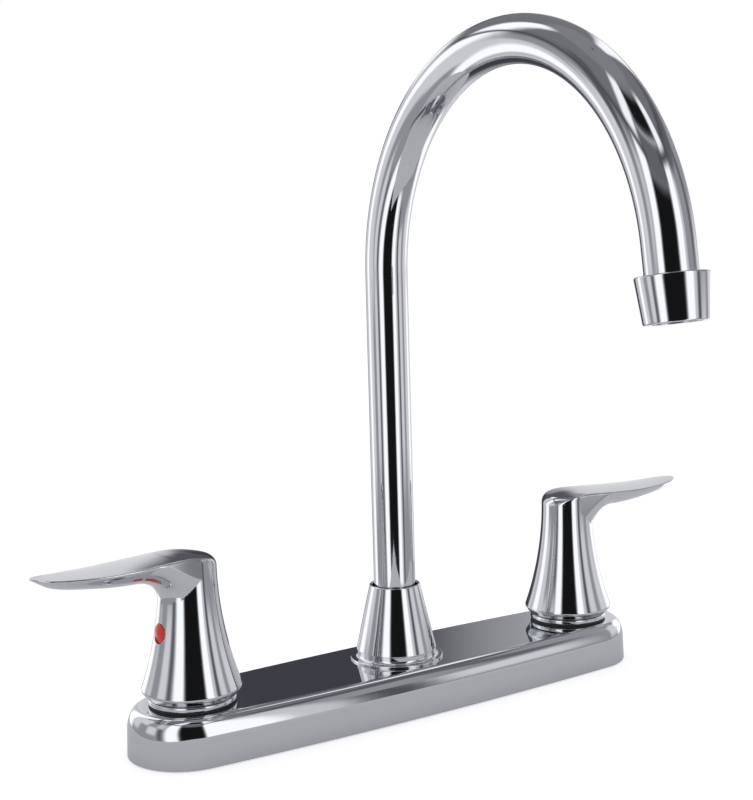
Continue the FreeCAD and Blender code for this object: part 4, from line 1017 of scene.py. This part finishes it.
def skin_of(field, low, high, step):
    """Skin of a field: a point in each cell that it crosses, drawn onto the surface, and a
    quad across each crossed edge of the grid. Returns the skin and its outward normals."""
    slab = 24
    round_edge = ((1, 1), (0, 1), (0, 0), (1, 0))
    axes = [np.arange(start, end + step, step) for start, end in zip(low, high)]
    grid = np.stack(np.meshgrid(*axes, indexing="ij"), axis=-1)
    values = np.concatenate([field(grid[start:start + slab])
                             for start in range(0, len(grid), slab)])
    inside = values < 0
    cells = [count - 1 for count in inside.shape]
    total = np.zeros((*cells, 3))
    hits = np.zeros(cells)
    crossed = []
    for axis in range(3):
        ahead = np.take(inside, range(1, inside.shape[axis]), axis)
        behind = np.take(inside, range(inside.shape[axis] - 1), axis)
        found = np.argwhere(ahead != behind)
        crossed.append(found)
        after = found.copy()
        after[:, axis] += 1
        first, second = values[tuple(found.T)], values[tuple(after.T)]
        share = (first / (first - second))[:, None]
        spots = grid[tuple(found.T)] * (1 - share) + grid[tuple(after.T)] * share
        for back in round_edge:
            cell = cells_beside(found, axis, back)
            np.add.at(total, cell, spots)
            np.add.at(hits, cell, 1)
    owned = hits > 0
    number = np.full(cells, -1)
    number[owned] = np.arange(owned.sum())
    skin = Skin()
    skin.points = drawn_onto(field, total[owned] / hits[owned][:, None], step)
    faces = []
    for axis, found in enumerate(crossed):
        quads = np.stack([number[cells_beside(found, axis, back)] for back in round_edge],
                         axis=1)
        leaving = inside[tuple(found.T)]
        faces.append(np.where(leaving[:, None], quads, quads[:, ::-1]))
    skin.faces = np.concatenate(faces)
    normals = slope_of(field, skin.points)
    return skin, normals / np.linalg.norm(normals, axis=1)[:, None]


def handle_place(side):
    """Turns the handle's own frame, with the lever towards +X, to its place on the deck."""
    sizes = in_millimetres("faucet_handle")
    across = SIDES[side] * in_millimetres("faucet_plate").handle_distance
    turn = math.pi + sizes.shut_turn if side == "hot" else -sizes.shut_turn
    return Matrix.Translation((across, 0, 0)) @ Matrix.Rotation(turn, 4, "Z")


def moved(skin, place):
    """The same skin in another place."""
    copy = Skin()
    matrix = np.array(place)
    copy.points = np.array(skin.points) @ matrix[:3, :3].T + matrix[:3, 3]
    copy.faces = skin.faces
    return copy


class FAUCET_OT_handles(bpy.types.Operator):
    """Builds both lever handles from one form"""
    bl_idname = "faucet.handles"
    bl_label = "Handles"

    def execute(self, context):
        sizes = in_millimetres("faucet_handle")
        form = HandleForm(sizes)
        step, quick_step, margin = 0.42, 0.8, 1.5
        low = (-sizes.skirt_radius - margin, -sizes.skirt_radius - margin,
               sizes.skirt_bottom - margin)
        high = (sizes.reach + margin, sizes.skirt_radius + margin,
                float(form.edge_height(sizes.reach)) + sizes.crown + margin)
        skin, normals = skin_of(form.field, low, high, step)
        for side in SIDES:
            place = handle_place(side)
            way = np.array(place)[:3, :3]
            make_piece("plated_%s_handle" % side, moved(skin, place), side + "_lever",
                       [side + "_handle"], finish("chrome_plate"),
                       normals @ way.T)
        return {"FINISHED"}


def ring_on_each_side(name, outline, node, look):
    """The same turned ring on the deck under each handle."""
    for side in SIDES:
        make_piece(name % side, turned(outline, around=160, place=handle_place(side)), "deck",
                   ["%s_%s" % (side, node)], finish(look))


class FAUCET_OT_trim_rings(bpy.types.Operator):
    """Turns the trim ring under each handle"""
    bl_idname = "faucet.trim_rings"
    bl_label = "Trim rings"

    def execute(self, context):
        sizes = in_millimetres("faucet_handle")
        outline = rounded([
            (sizes.ring_bore, sizes.ring_bottom, EASED),
            (sizes.ring_radius, sizes.ring_bottom, sizes.ring_lower_edge),
            (sizes.ring_radius, sizes.ring_top, sizes.ring_upper_edge),
            (sizes.ring_bore, sizes.ring_top, EASED),
        ])
        ring_on_each_side("plated_%s_trim_ring", outline, "skirt_ring",
                          "chrome_plate")
        return {"FINISHED"}


class FAUCET_OT_ring_seals(bpy.types.Operator):
    """Turns the black seal under each trim ring"""
    bl_idname = "faucet.ring_seals"
    bl_label = "Ring seals"

    def execute(self, context):
        sizes = in_millimetres("faucet_handle")
        base = in_millimetres("faucet_plate").height
        outline = rounded([
            (sizes.ring_bore, base, 0),
            (sizes.seal_radius, base, sizes.seal_edge),
            (sizes.seal_radius, sizes.ring_bottom, sizes.seal_edge),
            (sizes.ring_bore, sizes.ring_bottom, 0),
        ])
        ring_on_each_side("rubber_%s_ring_seal", outline, "ring_seal",
                          "moulded_rubber")
        return {"FINISHED"}


class FAUCET_OT_index_buttons(bpy.types.Operator):
    """Turns the red and the blue index button"""
    bl_idname = "faucet.index_buttons"
    bl_label = "Index buttons"

    def execute(self, context):
        sizes = in_millimetres("faucet_handle")
        dome, rim = sizes.button_dome, sizes.button_edge
        past_rim = rim + 0.05
        edge = sizes.button_face - dome + math.sqrt(dome ** 2 - sizes.button_radius ** 2)
        outline = [(0, sizes.button_seat), (sizes.button_radius, sizes.button_seat),
                   (sizes.button_radius, edge - past_rim)]
        rim_steps, dome_steps = 4, 12
        for number in range(rim_steps + 1):
            turn = math.pi / 2 * number / rim_steps
            outline.append((sizes.button_radius - rim * (1 - math.cos(turn)),
                            edge - rim * (1 - math.sin(turn))))
        for number in range(dome_steps + 1):
            radius = (sizes.button_radius - past_rim) * (1 - number / dome_steps)
            outline.append((radius, sizes.button_face - dome
                            + math.sqrt(dome ** 2 - radius ** 2)))
        lying = (Matrix.Translation((0, 0, sizes.button_height))
                 @ Matrix.Rotation(math.pi / 2, 4, "Y"))
        for side, colour_name in (("hot", "red"), ("cold", "blue")):
            make_piece("%s_index_button_cap" % side,
                       turned(outline, around=64, place=handle_place(side) @ lying),
                       side + "_lever", [side + "_index_button"],
                       finish(colour_name + "_abs"))
        return {"FINISHED"}


# ---------------------------------------------------------------- inner parts

EACH_SIDE = {
    "valve_body": "cast_brass",
    "cartridge_body": "turned_brass",
    "stem": "turned_brass",
    "crossover_tube": "drawn_copper",
    "seat_seal": "moulded_rubber",
    "stem_seal": "moulded_rubber",
    "fixed_disc": "lapped_alumina",
    "moving_disc": "lapped_alumina",
    "stem_clip": "pressed_stainless",
    "handle_screw": "pressed_stainless",
}
ONLY_ONE = {
    "spout_hub": "cast_brass",
    "spout_sleeve": "turned_brass",
    "outlet_fitting": "chrome_plate",
    "base_gasket": "moulded_rubber",
    "spout_seals": "moulded_rubber",
    "aerator_washer": "moulded_rubber",
    "retaining_clip": "pressed_stainless",
    "aerator_screen": "pressed_stainless",
    "aerator_insert": "moulded_acetal",
}


class FAUCET_OT_inner_parts(bpy.types.Operator):
    """Gives the working parts inside and underneath their finishes"""
    bl_idname = "faucet.inner_parts"
    bl_label = "Inner parts"

    def execute(self, context):
        wanted = dict(ONLY_ONE)
        for side in SIDES:
            for part, look in EACH_SIDE.items():
                wanted["%s_%s" % (side, part)] = look
        for part, look in wanted.items():
            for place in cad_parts[part].material_slots:
                place.material = finish(look)
        return {"FINISHED"}


# ---------------------------------------------------------------- stage

# The studio tent as the chrome shows it: what stands round the faucet, with its span in
# azimuth (0 is towards the front, 90 towards the cold side) and in elevation as seen from the
# tent's centre, its colour as it looks in the metal, how soft its edges are, and how far it
# leans, in azimuth by elevation. A later entry stands before an earlier one.
TENT = (
    ("lower wall", -180, 180, -90, 90, "#8C8C90", 1, 0),
    ("upper wall", -180, 180, 34, 120, "#6E6E72", 8, 0),
    ("ceiling", -180, 180, 68, 120, "#7B7B7F", 8, 0),
    ("left upper wall", -147, -84, 28, 41, "#646468", 8, 0),
    ("right upper wall", 27, 99, 31, 47, "#5C5C61", 6, 0),
    ("rear left wall", -186, -167, -40, 29, "#B6B6B9", 8, 0),
    ("rear left window", -166, -146, -50, 67, "#FBFBFB", 9, 0),
    ("rear left screen", -147, -131, -23, 13, "#C8C8CA", 8, 0),
    ("left rear screen", -134, -119, -6, 19, "#CDCDCF", 8, 0),
    ("left panel", -115, -100, -22, -3, "#CACACC", 7, 0),
    ("left dark panel", -122, -107, 16, 46, "#545459", 9, 0),
    ("left light patch", -103, -89, 0, 22, "#BCBCBE", 8, 0),
    ("left stand", -97, -90, -30, -4, "#5A5A5E", 6, 0),
    ("left softbox", -85, -62, -50, 34, "#FBFBFB", 9, 0),
    ("left softbox above", -78, -58, 37, 67, "#F2F2F2", 8, 0.5),
    ("right wall", 40, 60, -24, -2, "#C8C8CA", 9, 0),
    ("right dark panel", 53, 67, 4, 33, "#606065", 8, 0),
    ("right reflector", 75, 99, -24, 9, "#CACACC", 11, 0),
    ("right softbox", 98, 122, -50, -3, "#FBFBFB", 9, 0),
    ("right softbox's side", 120, 138, -30, 8, "#C2C2C4", 8, 0),
    ("right streak", 97, 114, 30, 69, "#F2F2F2", 8, -0.55),
    ("rear doorway", 139, 175, 0, 20, "#505057", 6, 0),
    ("rear doorway's top", 139, 164, 18, 36, "#505057", 7, 0),
    ("rear doorway's foot", 147, 172, -50, 1, "#3A3A41", 12, 0),
    ("rear lamp", 158, 177, 20, 31, "#F2F2F2", 6, 0),
    ("rear right panel", 174, 183, -40, 30, "#C6C6C8", 6, 0),
    ("front softbox", -4, 19, -50, 37, "#FBFBFB", 9, 0),
    ("front softbox's side", 18, 26, -50, 30, "#C0C0C2", 6, 0),
    ("front softbox above", 2, 23, 40, 63, "#F2F2F2", 9, 0),
    ("right light stand", 29, 37, -40, 2, "#4E4E53", 7, 0),
    ("dark front screen", -60, -6, -50, 28, "#141415", 10, 0),
    ("screen's upper half", -60, -2, 28, 46, "#606064", 5, 0),
    ("screen's upper edge", -58, -2, 43, 46, "#98989B", 2, 0),
    ("dark upper opening", -53, -3, 47, 63, "#161617", 7, 0),
    ("seam on the left", -175, -54, 31.5, 36, "#4C4C50", 4, 0),
    ("seam in front", -14, 34, 36, 40.5, "#4C4C50", 4, 0),
    ("seam on the right", 32, 76, 40.5, 45, "#4C4C50", 4, 0),
)
TENT_RADIUS = 0.47
TENT_CENTRE = (0, -0.09, 0.21)
TENT_STRENGTH = 1.5

FLOOR_CORNERS = ((-0.2, -0.29), (0.12, -0.2), (0.27, -0.12), (0.27, 0.14), (-0.2, 0.14))
FLOOR_LEVEL = -0.0005
FLOOR_COLOUR = "#BEBEC2"
FLOOR_GLOW_IN_METAL = 0.1
FLOOR_GLOW_IN_VIEW = 0.6

# The camera as fitted to the photograph: the picture's size, the focal length and the point
# that the lens looks straight at are in its pixels, from its top left corner.
PHOTO_WIDTH = 753
PHOTO_HEIGHT = 800
PHOTO_FOCAL_LENGTH = 1424.634
PHOTO_CENTRE = (389.831, 375.844)
CAMERA_PLACE = (-0.348372, -0.521971, 0.209484)
CAMERA_HEADING = -0.589
CAMERA_PITCH = math.radians(-5.70)
CAMERA_ROLL = math.radians(1.53)
CAMERA_RANGE = (0.01, 20)
SENSOR_WIDTH = 36.0


def card_share(at, low, high, soft):
    """How much of a card shows: nothing outside its span, all of it inside, soft between."""
    rise = np.clip((at - low) / soft + 0.5, 0, 1)
    fall = np.clip((high - at) / soft + 0.5, 0, 1)
    return rise ** 2 * (3 - 2 * rise) * fall ** 2 * (3 - 2 * fall)


def stage_paint(name):
    """A material for the stage, with no nodes in it yet."""
    paint = bpy.data.materials.new(name)
    paint.use_nodes = True
    paint.node_tree.nodes.clear()
    return paint


def add_tent():
    """A dome of softboxes, walls and flags that only polished surfaces see."""
    around, upwards, steepest = 360, 120, 89
    azimuth = np.linspace(-180, 180, around, endpoint=False)
    elevation = np.linspace(-steepest, steepest, upwards)
    azimuth, elevation = np.meshgrid(azimuth, elevation)
    glow = np.zeros((*azimuth.shape, 4))
    glow[..., 3] = 1
    for _, left, right, low, high, code, soft, lean in TENT:
        upright = azimuth - lean * (elevation - (low + high) / 2)
        share = np.max([card_share(upright + turn, left, right, soft)
                        for turn in (-360, 0, 360)], axis=0)
        if right - left >= 360:
            share = np.ones_like(share)
        share = (share * card_share(elevation, low, high, soft))[..., None]
        glow = glow * (1 - share) + np.array(linear(code)) * share
    turn, rise = np.radians(azimuth), np.radians(elevation)
    points = TENT_CENTRE + TENT_RADIUS * np.stack(
        [np.sin(turn) * np.cos(rise), -np.cos(turn) * np.cos(rise), np.sin(rise)], axis=-1)
    faces = [(row * around + place, row * around + (place + 1) % around,
              (row + 1) * around + (place + 1) % around, (row + 1) * around + place)
             for row in range(upwards - 1) for place in range(around)]
    mesh = bpy.data.meshes.new("studio_tent")
    mesh.from_pydata(points.reshape(-1, 3).tolist(), [], faces)
    mesh.color_attributes.new("glow", "FLOAT_COLOR", "POINT").data.foreach_set(
        "color", glow.reshape(-1))
    paint = stage_paint("studio_tent")
    paint.cycles.emission_sampling = "NONE"
    tree = paint.node_tree
    colours = add_node(tree, "ShaderNodeAttribute", attribute_name="glow")
    light = add_node(tree, "ShaderNodeEmission", {"Color": colours.outputs["Color"],
                                                  "Strength": TENT_STRENGTH})
    add_node(tree, "ShaderNodeOutputMaterial", {"Surface": light.outputs["Emission"]})
    mesh.materials.append(paint)
    tent = add_object("studio_tent", mesh)
    tent.visible_camera = False
    tent.visible_diffuse = False
    tent.visible_shadow = False


def add_floor():
    """A pale table that the camera sees as white, but for the faucet's shadow on it."""
    mesh = bpy.data.meshes.new("studio_floor")
    mesh.from_pydata([(*corner, FLOOR_LEVEL) for corner in FLOOR_CORNERS], [],
                     [range(len(FLOOR_CORNERS))])
    floor = add_object("studio_floor", mesh)
    paint = stage_paint("pale_floor")
    tree = paint.node_tree
    board = add_node(tree, "ShaderNodeBsdfDiffuse", {"Color": linear(FLOOR_COLOUR)})
    ray = add_node(tree, "ShaderNodeLightPath")
    in_metal = add_node(tree, "ShaderNodeEmission", {"Strength": FLOOR_GLOW_IN_METAL})
    in_view = add_node(tree, "ShaderNodeEmission", {"Strength": FLOOR_GLOW_IN_VIEW})
    polished = add_node(tree, "ShaderNodeMixShader",
                        {0: ray.outputs["Is Glossy Ray"], 2: in_metal.outputs["Emission"]})
    lift = add_node(tree, "ShaderNodeMixShader",
                    {0: ray.outputs["Is Camera Ray"], 1: polished.outputs["Shader"],
                     2: in_view.outputs["Emission"]})
    both = add_node(tree, "ShaderNodeAddShader",
                    {0: board.outputs["BSDF"], 1: lift.outputs["Shader"]})
    add_node(tree, "ShaderNodeOutputMaterial", {"Surface": both.outputs["Shader"]})
    mesh.materials.append(paint)


def add_camera():
    """The camera at the photograph's angle, with its lens and its off-centre crop."""
    camera = add_object("camera", bpy.data.cameras.new("camera"))
    across, down = PHOTO_CENTRE
    camera.data.sensor_width = SENSOR_WIDTH
    camera.data.lens = PHOTO_FOCAL_LENGTH * SENSOR_WIDTH / PHOTO_HEIGHT
    camera.data.shift_x = -(across - PHOTO_WIDTH / 2) / PHOTO_HEIGHT
    camera.data.shift_y = (down - PHOTO_HEIGHT / 2) / PHOTO_HEIGHT
    camera.data.clip_start, camera.data.clip_end = CAMERA_RANGE
    turn = (Matrix.Rotation(CAMERA_HEADING, 4, "Z") @ Matrix.Rotation(CAMERA_PITCH, 4, "X")
            @ Matrix.Rotation(CAMERA_ROLL, 4, "Y") @ Matrix.Rotation(math.pi / 2, 4, "X"))
    camera.matrix_world = Matrix.Translation(CAMERA_PLACE) @ turn
    bpy.context.scene.camera = camera


class FAUCET_OT_stage(bpy.types.Operator):
    """Sets the pale floor, the studio light and the camera"""
    bl_idname = "faucet.stage"
    bl_label = "Stage"

    def execute(self, context):
        add_floor()
        add_tent()
        world = bpy.data.worlds.new("studio")
        context.scene.world = world
        world.use_nodes = True
        world.node_tree.nodes["Background"].inputs["Color"].default_value = (1, 1, 1, 1)
        world.cycles_visibility.glossy = False
        add_camera()
        context.scene.view_settings.view_transform = "Standard"
        return {"FINISHED"}


class FAUCET_PT_panel(bpy.types.Panel):
    """Lists the faucet's pieces and sizes"""
    bl_idname = "FAUCET_PT_panel"
    bl_label = "Faucet"
    bl_space_type = "VIEW_3D"
    bl_region_type = "UI"
    bl_category = "Faucet"

    def draw(self, context):
        for operator in OPERATORS:
            self.layout.operator(operator.bl_idname)
        for name, group in GROUPS.items():
            box = self.layout.box()
            for key in group.__annotations__:
                box.prop(getattr(context.scene, name), key)


OPERATORS = (
    FAUCET_OT_deck_plate,
    FAUCET_OT_collar,
    FAUCET_OT_spout,
    FAUCET_OT_aerator,
    FAUCET_OT_handles,
    FAUCET_OT_trim_rings,
    FAUCET_OT_ring_seals,
    FAUCET_OT_index_buttons,
    FAUCET_OT_inner_parts,
    FAUCET_OT_stage,
)


def register():
    for kind in (*GROUPS.values(), *OPERATORS, FAUCET_PT_panel):
        bpy.utils.register_class(kind)
    for name, group in GROUPS.items():
        setattr(bpy.types.Scene, name, PointerProperty(type=group))


def unregister():
    for name in GROUPS:
        delattr(bpy.types.Scene, name)
    for kind in reversed((*GROUPS.values(), *OPERATORS, FAUCET_PT_panel)):
        bpy.utils.unregister_class(kind)


def main():
    register()
    for operator in OPERATORS:
        group, name = operator.bl_idname.split(".")
        getattr(getattr(bpy.ops, group), name)()


if __name__ == "__main__":
    main()
